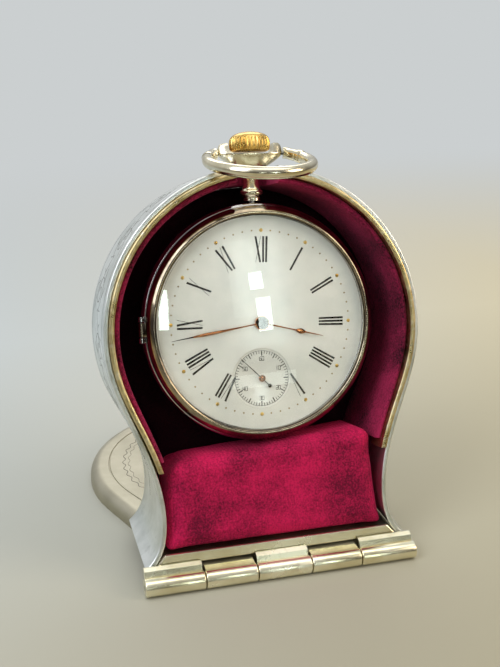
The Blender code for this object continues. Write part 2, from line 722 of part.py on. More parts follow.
def build_lid():
    base = -BARREL_RADIUS
    top = BARREL_RADIUS
    rings = [at_level(mirrored(half_outline(0, LID_NEAR_EDGE)), base)]
    for inset, drop in rounding(LID_ROUND):
        rings.append(at_level(mirrored(half_outline(inset, LID_NEAR_EDGE)), top - drop))
    shell = hold("lid_shell", loft_mesh("lid_shell", rings), hinge_frame, silver)
    pocket_half = trimmed(half_outline(LID_WALL, LID_NEAR_EDGE), LID_POCKET_EDGE)
    shallow_half = trimmed(half_outline(LID_ROUND, LID_NEAR_EDGE), LID_POCKET_EDGE)
    ceiling = top - LID_PLATE
    shoulder = top - LID_ROUND
    pocket = [at_level(mirrored(pocket_half), base - OVERRUN), at_level(mirrored(pocket_half), shoulder),
              at_level(mirrored(shallow_half), ceiling)]
    cut(shell, hold("lid_pocket", loft_mesh("lid_pocket", pocket), hinge_frame, None, cutter=True))
    notches = {
        "left": (-FOOT_HALF - OVERRUN, -OUTER_SEAM_OFFSET),
        "middle": (-INNER_SEAM_OFFSET, INNER_SEAM_OFFSET),
        "right": (OUTER_SEAM_OFFSET, FOOT_HALF + OVERRUN),
    }
    for side, (left, right) in notches.items():
        low = (left - SEAM_GAP, -OVERRUN, base - OVERRUN)
        high = (right + SEAM_GAP, LID_NOTCH_EDGE, top + OVERRUN)
        name = "lid_notch_" + side
        cut(shell, hold(name, box_mesh(name, low, high), hinge_frame, None, cutter=True))

    pad_floor = LID_POCKET_EDGE + LID_PAD_INSET - LID_WALL
    pad_half = trimmed(half_outline(LID_PAD_INSET, LID_NEAR_EDGE), pad_floor)
    edge = mirrored(pad_half)
    middle = (0, CASE_CENTRE_HEIGHT - LID_PAD_INSET)
    pad_top = ceiling - SEAT_GAP
    pad_low = pad_top - LID_PAD_THICKNESS
    crown_share, edge_share = LID_PAD_SHARES
    rings = [at_level(shrunk(edge, crown_share, middle), pad_low - LID_PAD_CROWN)]
    rings += [at_level(shrunk(edge, edge_share, middle), pad_low), at_level(edge, pad_low + LID_PAD_CROWN)]
    rings.append(at_level(edge, pad_top))
    hold("lid_lining", loft_mesh("lid_lining", rings), hinge_frame, velvet)


def shrunk(outline, share, middle):
    return [(middle[0] + (x - middle[0]) * share, middle[1] + (y - middle[1]) * share) for x, y in outline]


def build_velvet():
    leg_end = SILL_TOP + SEAT_GAP
    plate_top = FOOT_CLEAR + PLATE_THICKNESS + SEAT_GAP
    back_leg = foot_height(LINING_BACK_Z, plate_top)
    front_z = RIM_Z - LINING_SETBACK
    rings = [leg_ring(LINING_INSET, LINING_BACK_Z, back_leg), leg_ring(LINING_INSET, front_z, leg_end)]
    lining = hold("wall_lining", loft_mesh("wall_lining", rings), face_frame, velvet)
    inner = [leg_ring(LINING_INNER, LINING_BACK_Z - OVERRUN, -OVERRUN),
             leg_ring(LINING_INNER, front_z + OVERRUN, -OVERRUN)]
    cut(lining, hold("lining_hollow", loft_mesh("lining_hollow", inner), face_frame, None, cutter=True))
    # The lip sits in a step of the lining round the upper part.
    step_floor = LIP_END_HEIGHT - SEAT_GAP
    step_half = trimmed(half_outline(0, LIP_FOOT), step_floor)
    step = [at_level(mirrored(step_half), z) for z in (LIP_BACK_Z - SEAT_GAP, RIM_Z + OVERRUN)]
    step_body = hold("lining_step", loft_mesh("lining_step", step), face_frame, None, cutter=True)
    core_inset = LIP_INSET + LIP_WIDTH + SEAT_GAP
    core_half = half_outline(core_inset, LIP_FOOT)
    core = [at_level(mirrored(core_half), z) for z in (RIM_Z - CASE_DEPTH, RIM_Z + CASE_DEPTH)]
    cut(step_body, hold("step_core", loft_mesh("step_core", core), face_frame, None, cutter=True))
    cut(lining, step_body)
    cut(lining, slot_cutter("lining_slot"))
    # The lining ends above the cushion, which fills the neck from wall to wall.
    below = (-CASE_RADIUS, -OVERRUN, BACK_Z)
    legs = box_mesh("lining_legs", below, (CASE_RADIUS, LINING_FOOT, RIM_Z + OVERRUN))
    cut(lining, hold("lining_legs", legs, face_frame, None, cutter=True))

    # Back pad: a crowned board behind the watch
    pad_inset = LINING_INNER + SEAT_GAP
    pad_front = LINING_BACK_Z + BACK_PAD_THICKNESS
    pad_floor = foot_height(LINING_BACK_Z, plate_top)
    edge = mirrored(half_outline(pad_inset, foot_height(LINING_BACK_Z), pad_floor))
    middle = (0, CASE_CENTRE_HEIGHT)
    rings = [at_level(edge, LINING_BACK_Z), at_level(edge, pad_front - BACK_PAD_CROWN)]
    edge_share, crown_share = BACK_PAD_SHARES
    rings.append(at_level(shrunk(edge, edge_share, middle), pad_front))
    rings.append(at_level(shrunk(edge, crown_share, middle), pad_front + BACK_PAD_CROWN))
    hold("back_lining", loft_mesh("back_lining", rings), face_frame, velvet)

    build_cushion(leg_end, pad_front)


# The neck cushion: flat base on the sill, a trough for the watch on top, a crowned front.
def build_cushion(base, pad_front):
    half = WAIST_HALF - CASE_WALL - CUSHION_SIDE_GAP
    trough = BAND_RADIUS + SEAT_GAP
    trough_half = math.sqrt(trough ** 2 - (WATCH_CENTRE_HEIGHT - CUSHION_TOP) ** 2)
    right = []
    for i in range(6):
        x = trough_half * i / 5
        right.append((x, WATCH_CENTRE_HEIGHT - math.sqrt(trough ** 2 - x ** 2)))
    right.append(((trough_half + half) / 2, CUSHION_TOP))
    right.append((half - (CUSHION_TOP - CUSHION_SHOULDER) / 2, CUSHION_TOP - CUSHION_CROWN))
    right.append((half, CUSHION_SHOULDER))
    rows = 4
    for i in range(1, rows + 1):
        right.append((half, CUSHION_SHOULDER + (base - CUSHION_SHOULDER) * i / rows))
    for i in range(1, 4):
        right.append((half * (1 - i / 4), base))
    right.append((0, base))
    edge = list(reversed(right)) + [(-x, y) for x, y in right[1:-1]]
    middle = (0, (base + CUSHION_TOP) / 2)
    front = RIM_Z - CUSHION_SETBACK
    back = pad_front + BACK_PAD_CROWN + SEAT_GAP
    drawn = shrunk(edge, CUSHION_DRAW_IN_SHARE, middle)
    rings = [at_level(drawn, back), at_level(edge, (front + back) / 2)]
    rings.append(at_level(edge, front - CUSHION_CROWN * 2))
    for share, level in zip(CUSHION_CROWN_SHARES, (front - CUSHION_CROWN, front, front + CUSHION_CROWN / 2)):
        rings.append(at_level(shrunk(edge, share, middle), level))
    for ring in rings:
        lift = foot_height(ring[0][2], FOOT_CLEAR + PLATE_THICKNESS + SEAT_GAP)
        for i, (x, y, z) in enumerate(ring):
            if y < lift:
                ring[i] = (x, lift, z)
    hold("neck_cushion", loft_mesh("neck_cushion", rings), face_frame, velvet)


def build_watch_case():
    band_shares = ((0.968, 1.0), (0.99, 0.56), (1.0, 0.0), (0.99, -0.56), (0.968, -1.0))
    profile = [(BAND_INNER_RADIUS, BAND_HALF)]
    profile += [(BAND_RADIUS * r, BAND_HALF * z) for r, z in band_shares]
    profile.append((BAND_INNER_RADIUS, -BAND_HALF))
    band = hold("watch_band", turned_mesh("watch_band", profile, WATCH_STEPS, True), watch_frame, silver)
    hole_profile = rod_profile(STEM_BORE_RADIUS, BAND_INNER_RADIUS - OVERRUN, BAND_RADIUS + OVERRUN)
    hole = turned_mesh("band_hole", hole_profile, SMALL_STEPS)
    cut(band, hold("band_hole", hole, watch_frame, None, turn=(-math.pi / 2, 0, 0), cutter=True))

    # Lugs for the bezel hinge at nine o'clock: two on the band, one on the bezel between them
    lug_bore = LUG_PIN_RADIUS + RUN_GAP
    band_lug_start = BEZEL_LUG_HALF + SEAM_GAP
    place = ((-HINGE_OFFSET, 0, HINGE_LEVEL), (-math.pi / 2, 0, 0))
    sides = {"upper": (band_lug_start, band_lug_start + BAND_LUG_LENGTH),
             "lower": (-band_lug_start - BAND_LUG_LENGTH, -band_lug_start)}
    for side, (low, high) in sides.items():
        name = "band_lug_" + side
        lug = turned_mesh(name, rod_profile(LUG_RADIUS, low, high), SMALL_STEPS)
        join(band, hold(name, lug, watch_frame, None, *place, True))
        web = box_mesh(name + "_web", (-HINGE_OFFSET - LUG_WEB_THICKNESS / 2, low, BAND_HALF / 2),
                       (-BAND_EDGE_RADIUS + LUG_WEB_THICKNESS, high, BAND_HALF - FREE_GAP))
        join(band, hold(name + "_web", web, watch_frame, None, cutter=True))
        post = box_mesh(name + "_post", (-HINGE_OFFSET - LUG_WEB_THICKNESS / 2, low, BAND_HALF / 2),
                        (-HINGE_OFFSET + LUG_WEB_THICKNESS / 2, high, HINGE_LEVEL))
        join(band, hold(name + "_post", post, watch_frame, None, cutter=True))
    reach = band_lug_start + BAND_LUG_LENGTH
    bore_profile = rod_profile(lug_bore, -reach - OVERRUN, reach + OVERRUN)
    bore = turned_mesh("band_lug_bore", bore_profile, SMALL_STEPS)
    cut(band, hold("band_lug_bore", bore, watch_frame, None, *place, True))
    pin = turned_mesh("bezel_hinge_pin", rod_profile(LUG_PIN_RADIUS, -reach, reach), SMALL_STEPS)
    hold("bezel_hinge_pin", pin, watch_frame, steel, *place)

    rise = BEZEL_HIGH - BEZEL_LOW
    profile = [(BEZEL_BORE_RADIUS, BEZEL_LOW + rise * BEZEL_LIP_SHARE),
               ((BEZEL_BORE_RADIUS + BEZEL_FACE_RADIUS) / 2, BEZEL_HIGH),
               (BEZEL_FACE_RADIUS, BEZEL_LOW + rise * BEZEL_CHAMFER_SHARE),
               (BEZEL_RADIUS, BEZEL_LOW + rise * BEZEL_SHOULDER_SHARE),
               (BEZEL_RADIUS, BEZEL_LOW), (BEZEL_BORE_RADIUS, BEZEL_LOW)]
    bezel = hold("bezel", turned_mesh("bezel", profile, WATCH_STEPS, True), watch_frame, silver)
    lug = turned_mesh("bezel_lug", rod_profile(LUG_RADIUS, -BEZEL_LUG_HALF, BEZEL_LUG_HALF), SMALL_STEPS)
    join(bezel, hold("bezel_lug", lug, watch_frame, None, *place, True))
    web = box_mesh("bezel_lug_web", (-HINGE_OFFSET, -BEZEL_LUG_HALF, HINGE_LEVEL),
                   (-BEZEL_BORE_RADIUS - LUG_WEB_THICKNESS, BEZEL_LUG_HALF, HINGE_LEVEL + LUG_WEB_THICKNESS))
    join(bezel, hold("bezel_lug_web", web, watch_frame, None, cutter=True))
    hole = turned_mesh("bezel_lug_bore", rod_profile(lug_bore, -reach, reach), SMALL_STEPS)
    cut(bezel, hold("bezel_lug_bore", hole, watch_frame, None, *place, True))

    dome = CRYSTAL_TOP - CRYSTAL_EDGE
    shares = (0, 0.4, 0.7, 0.9)
    top = [(CRYSTAL_RADIUS * s, CRYSTAL_EDGE + dome * (1 - s * s)) for s in shares]
    under = [(r, level - CRYSTAL_THICKNESS) for r, level in reversed(top)]
    edge = [(CRYSTAL_RADIUS, CRYSTAL_EDGE), (CRYSTAL_RADIUS, CRYSTAL_EDGE - CRYSTAL_THICKNESS)]
    hold("crystal", turned_mesh("crystal", top + edge + under, WATCH_STEPS), watch_frame, glass)

    # Back cover and dust cover: nested shallow domes. Shares are of radius and of depth below the edge.
    dome_shares = ((0, 1.0), (0.45, 0.95), (0.8, 0.72), (0.93, 0.42))
    outer = [(BAND_EDGE_RADIUS * r, BACK_TOP - BACK_DEPTH * d) for r, d in reversed(dome_shares)]
    inner_depth = BACK_DEPTH - BACK_THICKNESS
    inner = [(BAND_INNER_RADIUS * r, BACK_TOP - inner_depth * d) for r, d in dome_shares]
    profile = inner + [(BAND_INNER_RADIUS, BACK_TOP), (BAND_EDGE_RADIUS, BACK_TOP)] + outer
    hold("back_cover", turned_mesh("back_cover", profile, WATCH_STEPS), watch_frame, silver)
    edge = DUST_RADIUS - DUST_RIM_WIDTH
    outer = [(DUST_RADIUS * r, DUST_TOP - DUST_DEPTH * d) for r, d in reversed(dome_shares)]
    inner = [(edge * r, DUST_TOP - (DUST_DEPTH - DUST_THICKNESS) * d) for r, d in dome_shares]
    profile = inner + [(edge, DUST_TOP + DUST_THICKNESS), (DUST_RADIUS, DUST_TOP + DUST_THICKNESS)] + outer
    hold("dust_cover", turned_mesh("dust_cover", profile, WHEEL_STEPS * 2), watch_frame, silver)


def build_pendant():
    base = BAND_RADIUS + SEAT_GAP
    foot = (FLANGE_LOW + base) / 2
    profile = [(0, NECK_TOP), (NECK_RADIUS, NECK_TOP), (NECK_RADIUS, FLANGE_HIGH)]
    profile += [(FLANGE_RADIUS, FLANGE_HIGH), (FLANGE_RADIUS, FLANGE_LOW), (NECK_RADIUS, foot)]
    profile += [(FLANGE_RADIUS, base), (0, base)]
    across = (-math.pi / 2, 0, 0)
    pendant = hold("pendant", turned_mesh("pendant", profile, WHEEL_STEPS), watch_frame, silver, turn=across)
    head_shares = ((0.28, 0.0), (0.66, 0.2), (0.95, 0.42), (1.0, 0.55))
    head_shares += ((1.0, 0.86), (0.93, 1.0), (0.8, 0.97))
    right = [(HEAD_HALF * x, HEAD_BOTTOM + HEAD_HEIGHT * y) for x, y in head_shares]
    right += [(EAR_INNER_HALF, EAR_FLOOR + STEM_RADIUS), (EAR_INNER_HALF - STEM_RADIUS, EAR_FLOOR)]
    outline = right + [(-x, y) for x, y in reversed(right)]
    head = hold("pendant_head", flat_mesh("pendant_head", [outline], -HEAD_DEPTH / 2, HEAD_DEPTH / 2),
                watch_frame, None, cutter=True)
    soften(head, HEAD_BEVEL, 1)
    join(pendant, head)
    bore = turned_mesh("pendant_bore", rod_profile(STEM_BORE_RADIUS, base - OVERRUN, HEAD_TOP), SMALL_STEPS)
    cut(pendant, hold("pendant_bore", bore, watch_frame, None, turn=across, cutter=True))

    # Bow: an almost full ring whose ends turn in to the ears
    start = math.asin(BOW_END_OFFSET / BOW_RADIUS) + math.asin(BOW_WIRE_RADIUS / BOW_RADIUS) * 2
    count = 22
    arc = []
    for i in range(count + 1):
        a = start + (2 * math.pi - 2 * start) * i / count
        arc.append((BOW_RADIUS * math.sin(a), BOW_OFFSET - BOW_RADIUS * math.cos(a), 0))
    first, near, rise = BOW_TURN_SHARES
    end = [(BOW_END_OFFSET, 0, 0), (BOW_END_OFFSET + BOW_WIRE_RADIUS, BOW_WIRE_RADIUS * first, 0)]
    end.append((arc[0][0] - BOW_WIRE_RADIUS * near, BOW_WIRE_RADIUS * rise, 0))
    points = end + arc + [(-x, y, z) for x, y, z in reversed(end)]
    bow = hold("bow", tube_mesh("bow", points, BOW_WIRE_RADIUS), bow_frame, silver)
    sideways = (0, math.pi / 2, 0)
    hole = BOW_PIN_RADIUS + RUN_GAP
    for side, sign in (("left", -1), ("right", 1)):
        carriers = ((bow, bow_frame, (0, 0, 0)), (pendant, watch_frame, (0, PIVOT_HEIGHT, 0)))
        for body, frame, centre in carriers:
            name = f"{body.name}_bore_{side}"
            span = sorted((sign * (EAR_INNER_HALF - OVERRUN), sign * (BOW_PIN_END_OFFSET + RUN_GAP)))
            mesh = turned_mesh(name, rod_profile(hole, *span), SMALL_STEPS)
            cut(body, hold(name, mesh, frame, None, centre, sideways, True))
        span = sorted((sign * (EAR_INNER_HALF + SEAT_GAP), sign * BOW_PIN_END_OFFSET))
        pin = turned_mesh("bow_pin_" + side, rod_profile(BOW_PIN_RADIUS, *span), SMALL_STEPS)
        hold("bow_pin_" + side, pin, watch_frame, steel, (0, PIVOT_HEIGHT, 0), sideways)


def build_crown():
    dome_shares = ((0.0, 0.86), (0.22, 0.98), (0.55, 1.0), (0.8, 0.86), (0.95, 0.58))
    count = CROWN_FLUTES * 4
    rings = []
    for height, width in dome_shares:
        ring = []
        for i in range(count):
            a = 2 * math.pi * i / count
            wave = (1 - math.cos(CROWN_FLUTES * a)) / 2 if height < CROWN_FLUTE_TOP_SHARE else 0
            radius = CROWN_RADIUS * width * (1 - CROWN_FLUTE_SHARE * wave)
            ring.append((radius * math.cos(a), radius * math.sin(a), CROWN_LOW + CROWN_HEIGHT * height))
        rings.append(ring)
    across = (-math.pi / 2, 0, 0)
    hold("crown", loft_mesh("crown", rings), watch_frame, gold, turn=across)
    bore = STEM_RADIUS + RUN_GAP
    pieces = {
        "winding_stem": rod_profile(STEM_RADIUS, STEM_LOW, CROWN_LOW - SEAT_GAP),
        "winding_pinion": tube_profile(bore, WINDING_PINION_RADIUS, PINION_LOW, PINION_LOW + PINION_LENGTH),
        "castle_wheel": tube_profile(bore, CASTLE_RADIUS, CASTLE_LOW, CASTLE_LOW + PINION_LENGTH),
    }
    for name, profile in pieces.items():
        mesh = turned_mesh(name, profile, SMALL_STEPS, name != "winding_stem")
        hold(name, mesh, watch_frame, steel, turn=across)


def hand_mesh(name, length, tail, width, eye, hole, level, bulb):
    # A round eye, a slim blade with a small bulb near its tip, and a short tail
    low, high = level, level + HAND_THICKNESS
    bulb_at, bulb_half = bulb
    shares = ((bulb_at - 0.09, 0.35), (bulb_at, bulb_half), (bulb_at + 0.09, 0.3), (1.0, 0.12))
    side = []
    steps = 7
    for i in range(steps):
        a = math.radians(75) + (math.radians(-65) - math.radians(75)) * i / (steps - 1)
        side.append((eye * math.cos(a), -eye * math.sin(a)))
    side = [(x, y) for x, y in side if abs(x) > width / 2] or [(width / 2, 0)]
    right = [(width / 2, -tail), *side, (width / 2, eye)]
    right = sorted(right, key=lambda point: point[1])
    right += [(width * half, length * along) for along, half in shares]
    outline = right + [(-x, y) for x, y in reversed(right)]
    loops = [outline] + ([circle(hole, 12)] if hole else [])
    return flat_mesh(name, loops, low, high)


def build_dial():
    loops = [circle(DIAL_RADIUS, WATCH_STEPS), circle(HOUR_PIPE_RADIUS + FREE_GAP, SMALL_STEPS),
             circle(ARBOR_RADIUS + FREE_GAP, SMALL_STEPS, (0, -SECONDS_OFFSET))]
    hold("dial", flat_mesh("dial", loops, DIAL_FACE - DIAL_THICKNESS, DIAL_FACE), dial_frame, enamel)
    hour = hand_mesh("hour_hand", HOUR_LENGTH, HAND_EYE_RADIUS, HAND_WIDTH, HAND_EYE_RADIUS * 1.5,
                     HOUR_PIPE_RADIUS + RUN_GAP, HOUR_LEVEL, HOUR_BULB_SHARES)
    hold("hour_hand", hour, dial_frame, rose_gold, turn=(0, 0, -HOUR_ANGLE))
    minute = hand_mesh("minute_hand", MINUTE_LENGTH, HAND_EYE_RADIUS * 1.2, HAND_WIDTH, HAND_EYE_RADIUS,
                       CENTRE_ARBOR_RADIUS + RUN_GAP, MINUTE_LEVEL, MINUTE_BULB_SHARES)
    hold("minute_hand", minute, dial_frame, rose_gold, turn=(0, 0, -MINUTE_ANGLE))
    # Seconds hand: a needle with a small ball on its tail
    half = SECONDS_WIDTH / 2
    hub = [polar(SECONDS_BALL_RADIUS, math.radians(a)) for a in (-60, 0, 60)]
    ball = SECONDS_BALL_RADIUS
    right = [(half, ball - SECONDS_TAIL_LENGTH), (half, -ball), *hub, (half, ball)]
    right.append((half / 2, SECONDS_LENGTH))
    bottom = circle(ball, SMALL_STEPS, (0, -SECONDS_TAIL_LENGTH))
    bottom = sorted((p for p in bottom if p[1] < ball / 2 - SECONDS_TAIL_LENGTH), key=lambda p: p[0])
    outline = bottom + right + [(-x, y) for x, y in reversed(right)]
    loops = [outline, circle(ARBOR_RADIUS + RUN_GAP, 12)]
    mesh = flat_mesh("seconds_hand", loops, SECONDS_LEVEL, SECONDS_LEVEL + HAND_THICKNESS)
    hold("seconds_hand", mesh, dial_frame, rose_gold, (0, -SECONDS_OFFSET, 0), (0, 0, -SECONDS_ANGLE))


# Train places, worked out from the wheels' sizes
def train_places():
    barrel = polar(BARREL_DRUM_RADIUS + CENTRE_PINION_RADIUS + WHEEL_GAP * 2, BARREL_BEARING)
    fourth = (0, -SECONDS_OFFSET)
    reach = CENTRE_WHEEL_RADIUS + PINION_RADIUS + WHEEL_GAP
    gap = THIRD_WHEEL_RADIUS + PINION_RADIUS + WHEEL_GAP
    third_y = -(reach ** 2 - gap ** 2 + SECONDS_OFFSET ** 2) / (2 * SECONDS_OFFSET)
    third = (math.sqrt(reach ** 2 - third_y ** 2), third_y)
    step = polar(FOURTH_WHEEL_RADIUS + ESCAPE_PINION_RADIUS + WHEEL_GAP, ESCAPE_BEARING)
    escape = (fourth[0] + step[0], fourth[1] + step[1])
    balance = polar(BALANCE_OFFSET, BALANCE_BEARING)
    line = Vector(balance) - Vector(escape)
    pallet = Vector(escape) + line.normalized() * PALLET_OFFSET
    return {"barrel": barrel, "fourth": fourth, "third": third, "escape": escape, "balance": balance,
            "pallet": tuple(pallet), "crown_wheel": polar(CROWN_WHEEL_OFFSET, CROWN_WHEEL_BEARING),
            "minute_wheel": polar(MINUTE_WHEEL_OFFSET, MINUTE_WHEEL_BEARING)}


PLACES = train_places()


def seat(name, mesh, place, finish, turn=0):
    return hold(name, mesh, dial_frame, finish, (*place, 0), (0, 0, turn))


def build_plates():
    holes = [circle(CANNON_PINION_RADIUS + FREE_GAP, SMALL_STEPS),
             circle(ARBOR_RADIUS + FREE_GAP, SMALL_STEPS, PLACES["fourth"])]
    loops = [circle(PLATE_RADIUS, WHEEL_STEPS * 2)] + holes
    seat("main_plate", flat_mesh("main_plate", loops, PLATE_LOW, PLATE_TOP), (0, 0), nickel)

    def arc(first, last, steps=10):
        turns = [math.radians(first + (last - first) * i / steps) for i in range(steps + 1)]
        return [polar(BRIDGE_RADIUS, a) for a in turns]

    edge = BRIDGE_RADIUS
    outlines = {
        "barrel_bridge": arc(8, 172),
        "train_bridge": arc(-108, -2) + [(x * edge, y * edge) for x, y in TRAIN_BRIDGE_SHARES],
        "balance_cock": arc(-170, -146, 4),
    }
    bx, by = PLACES["balance"]
    root = Vector(polar(BRIDGE_RADIUS, math.radians(-158)))
    tip = Vector((bx, by))
    along = (tip - root).normalized()
    across = Vector((-along.y, along.x)) * COCK_WIDTH / 2
    outlines["balance_cock"] += [tuple(tip - across + along * COCK_WIDTH / 2),
                                 tuple(tip + across + along * COCK_WIDTH / 2)]
    posts = {"barrel_bridge": (15, 115, 167), "train_bridge": (-10, -60, -96), "balance_cock": (-157,)}
    barrel_holes = [(PLACES["barrel"], CENTRE_PINION_RADIUS), (PLACES["crown_wheel"], CROWN_WHEEL_HUB_RADIUS)]
    holes = {"barrel_bridge": barrel_holes, "train_bridge": [], "balance_cock": []}
    for name, outline in outlines.items():
        loops = [outline] + [circle(r + FREE_GAP, SMALL_STEPS, place) for place, r in holes[name]]
        bridge = seat(name, flat_mesh(name, loops, BRIDGE_LOW, BRIDGE_TOP), (0, 0), nickel)
        for i, bearing in enumerate(posts[name]):
            place = polar(POST_RING_RADIUS, math.radians(bearing))
            post_name = f"{name}_post_{i + 1}"
            top = PLATE_LOW - SEAT_GAP
            post = turned_mesh(post_name, rod_profile(POST_RADIUS, BRIDGE_TOP - SEAT_GAP, top), SMALL_STEPS)
            join(bridge, hold(post_name, post, dial_frame, None, (*place, 0), cutter=True))
        # The first post of each bridge takes its screw.
        place = polar(POST_RING_RADIUS, math.radians(posts[name][0]))
        bore_name = name + "_screw_bore"
        bore = rod_profile(SCREW_RADIUS + RUN_GAP, BRIDGE_LOW - OVERRUN, PLATE_LOW)
        cut(bridge, hold(bore_name, turned_mesh(bore_name, bore, SMALL_STEPS), dial_frame, None, (*place, 0),
                         cutter=True))
        head = BRIDGE_LOW - RUN_GAP
        screw = stepped_profile(SCREW_RADIUS, ARBOR_TOP, head - SCREW_HEAD_HEIGHT - RUN_GAP,
                                [(SCREW_HEAD_RADIUS, head, SCREW_HEAD_HEIGHT)])[:-2]
        screw[-1] = (0, head - SCREW_HEAD_HEIGHT)
        body = seat(name + "_screw", turned_mesh(name + "_screw", screw, SMALL_STEPS), place, steel)
        slot_low = head - SCREW_HEAD_HEIGHT - OVERRUN
        slot = box_mesh(name + "_slot", (-SCREW_HEAD_RADIUS * 2, -SCREW_SLOT_WIDTH / 2, slot_low),
                        (SCREW_HEAD_RADIUS * 2, SCREW_SLOT_WIDTH / 2, head - SCREW_HEAD_HEIGHT / 2))
        cut(body, hold(name + "_slot", slot, dial_frame, None, (*place, 0), cutter=True))

    # Pallet bridge: a small capsule from its post to the pallet pivot
    pallet = Vector(PLACES["pallet"])
    post_place = pallet + Vector(polar(PALLET_POST_OFFSET, PALLET_POST_BEARING))
    direction = (post_place - pallet).normalized()
    bearing = math.atan2(direction.y, direction.x)
    outline = []
    for centre, turn in ((post_place, bearing), (pallet, bearing + math.pi)):
        for i in range(7):
            outline.append(tuple(centre + Vector(polar(POST_RADIUS, turn - math.pi / 2 + math.pi * i / 6))))
    low = PALLET_BRIDGE_LEVEL - PALLET_BRIDGE_THICKNESS
    mesh = flat_mesh("pallet_bridge", [outline], low, PALLET_BRIDGE_LEVEL)
    bridge = seat("pallet_bridge", mesh, (0, 0), nickel)
    post = rod_profile(POST_RADIUS - RUN_GAP, low + RUN_GAP, PLATE_LOW - SEAT_GAP)
    join(bridge, hold("pallet_post", turned_mesh("pallet_post", post, SMALL_STEPS), dial_frame, None,
                      (*post_place, 0), cutter=True))


def ribbon(name, inner, outer, turns, low, high, thickness, place, finish):
    count = turns * SPRING_POINTS_PER_TURN
    verts = []
    for i in range(count + 1):
        a = 2 * math.pi * i / SPRING_POINTS_PER_TURN
        radius = inner + (outer - inner) * i / count
        verts += [(*polar(radius, a), low), (*polar(radius, a), high)]
    faces = [(2 * i, 2 * i + 2, 2 * i + 3, 2 * i + 1) for i in range(count)]
    mesh = bpy.data.meshes.new(name)
    mesh.from_pydata(verts, [], faces)
    body = seat(name, mesh, place, finish)
    skin = body.modifiers.new("thickness", "SOLIDIFY")
    skin.thickness = thickness
    skin.offset = 0
    print(name, "turn gap", round((outer - inner) / turns - thickness, 6))


def build_train():
    centre_top = MINUTE_LEVEL + HAND_THICKNESS + FREE_GAP
    wheel = WHEEL_THICKNESS
    profiles = {
        "centre_wheel": (stepped_profile(CENTRE_ARBOR_RADIUS - RUN_GAP * 2, centre_top, ARBOR_LOW, [
            (CENTRE_PINION_RADIUS, BARREL_DRUM_TOP, BARREL_DRUM_TOP / 2),
            (CENTRE_WHEEL_RADIUS, CENTRE_WHEEL_LEVEL, wheel)]), (0, 0), brass),
        "third_wheel": (stepped_profile(ARBOR_RADIUS, ARBOR_TOP, ARBOR_LOW, [
            (THIRD_WHEEL_RADIUS, THIRD_WHEEL_LEVEL, wheel),
            (PINION_RADIUS, CENTRE_WHEEL_LEVEL + wheel, PINION_HEIGHT)]), PLACES["third"], brass),
        "fourth_wheel": (stepped_profile(ARBOR_RADIUS, SECONDS_LEVEL + HAND_THICKNESS, ARBOR_LOW, [
            (PINION_RADIUS, THIRD_WHEEL_LEVEL + wheel / 2, PINION_HEIGHT),
            (FOURTH_WHEEL_RADIUS, FOURTH_WHEEL_LEVEL, wheel)]), PLACES["fourth"], brass),
    }
    for name, (profile, place, finish) in profiles.items():
        seat(name, turned_mesh(name, profile, WHEEL_STEPS), place, finish)

    # Cannon pinion: a pipe on the centre arbor that carries the minute hand
    low = PLATE_TOP + FREE_GAP
    profile = [(CENTRE_ARBOR_RADIUS, MINUTE_LEVEL - FREE_GAP), (CANNON_RADIUS, MINUTE_LEVEL - FREE_GAP),
               (CANNON_RADIUS, low + MOTION_THICKNESS), (CANNON_PINION_RADIUS, low + MOTION_THICKNESS),
               (CANNON_PINION_RADIUS, low), (CENTRE_ARBOR_RADIUS, low)]
    seat("cannon_pinion", turned_mesh("cannon_pinion", profile, SMALL_STEPS, True), (0, 0), steel)
    hour_low = HOUR_WHEEL_LEVEL - MOTION_THICKNESS
    bore = CANNON_RADIUS + RUN_GAP * 2
    profile = [(bore, HOUR_LEVEL - RUN_GAP), (HOUR_PIPE_RADIUS - RUN_GAP, HOUR_LEVEL - RUN_GAP),
               (HOUR_PIPE_RADIUS - RUN_GAP, HOUR_WHEEL_LEVEL), (HOUR_WHEEL_RADIUS, HOUR_WHEEL_LEVEL),
               (HOUR_WHEEL_RADIUS, hour_low), (bore, hour_low)]
    seat("hour_wheel", turned_mesh("hour_wheel", profile, WHEEL_STEPS, True), (0, 0), brass)
    arbor_low = MINUTE_WHEEL_LEVEL - MOTION_THICKNESS - RUN_GAP
    profile = stepped_profile(ARBOR_RADIUS, HOUR_WHEEL_LEVEL + RUN_GAP, arbor_low,
                              [(MINUTE_PINION_RADIUS, HOUR_WHEEL_LEVEL, MOTION_THICKNESS),
                               (MINUTE_WHEEL_RADIUS, MINUTE_WHEEL_LEVEL, MOTION_THICKNESS)])
    seat("minute_wheel", turned_mesh("minute_wheel", profile, WHEEL_STEPS), PLACES["minute_wheel"], brass)

    # Escape wheel with its fifteen pointed teeth, on its arbor
    outline = []
    for i in range(ESCAPE_TEETH):
        a = 2 * math.pi * i / ESCAPE_TEETH
        step = 2 * math.pi / ESCAPE_TEETH
        for radius, share in ESCAPE_TOOTH_SHARES:
            outline.append(polar(ESCAPE_RADIUS * radius, a + step * share))
    low = ESCAPE_LEVEL - WHEEL_THICKNESS
    mesh = flat_mesh("escape_wheel", [outline], low, ESCAPE_LEVEL)
    wheel_body = seat("escape_wheel", mesh, PLACES["escape"], steel)
    arbor = stepped_profile(ARBOR_RADIUS, ARBOR_TOP, ARBOR_LOW,
                            [(ESCAPE_PINION_RADIUS, FOURTH_WHEEL_LEVEL + wheel / 2, PINION_HEIGHT)])
    join(wheel_body, hold("escape_arbor", turned_mesh("escape_arbor", arbor, SMALL_STEPS), dial_frame, None,
                          (*PLACES["escape"], 0), cutter=True))


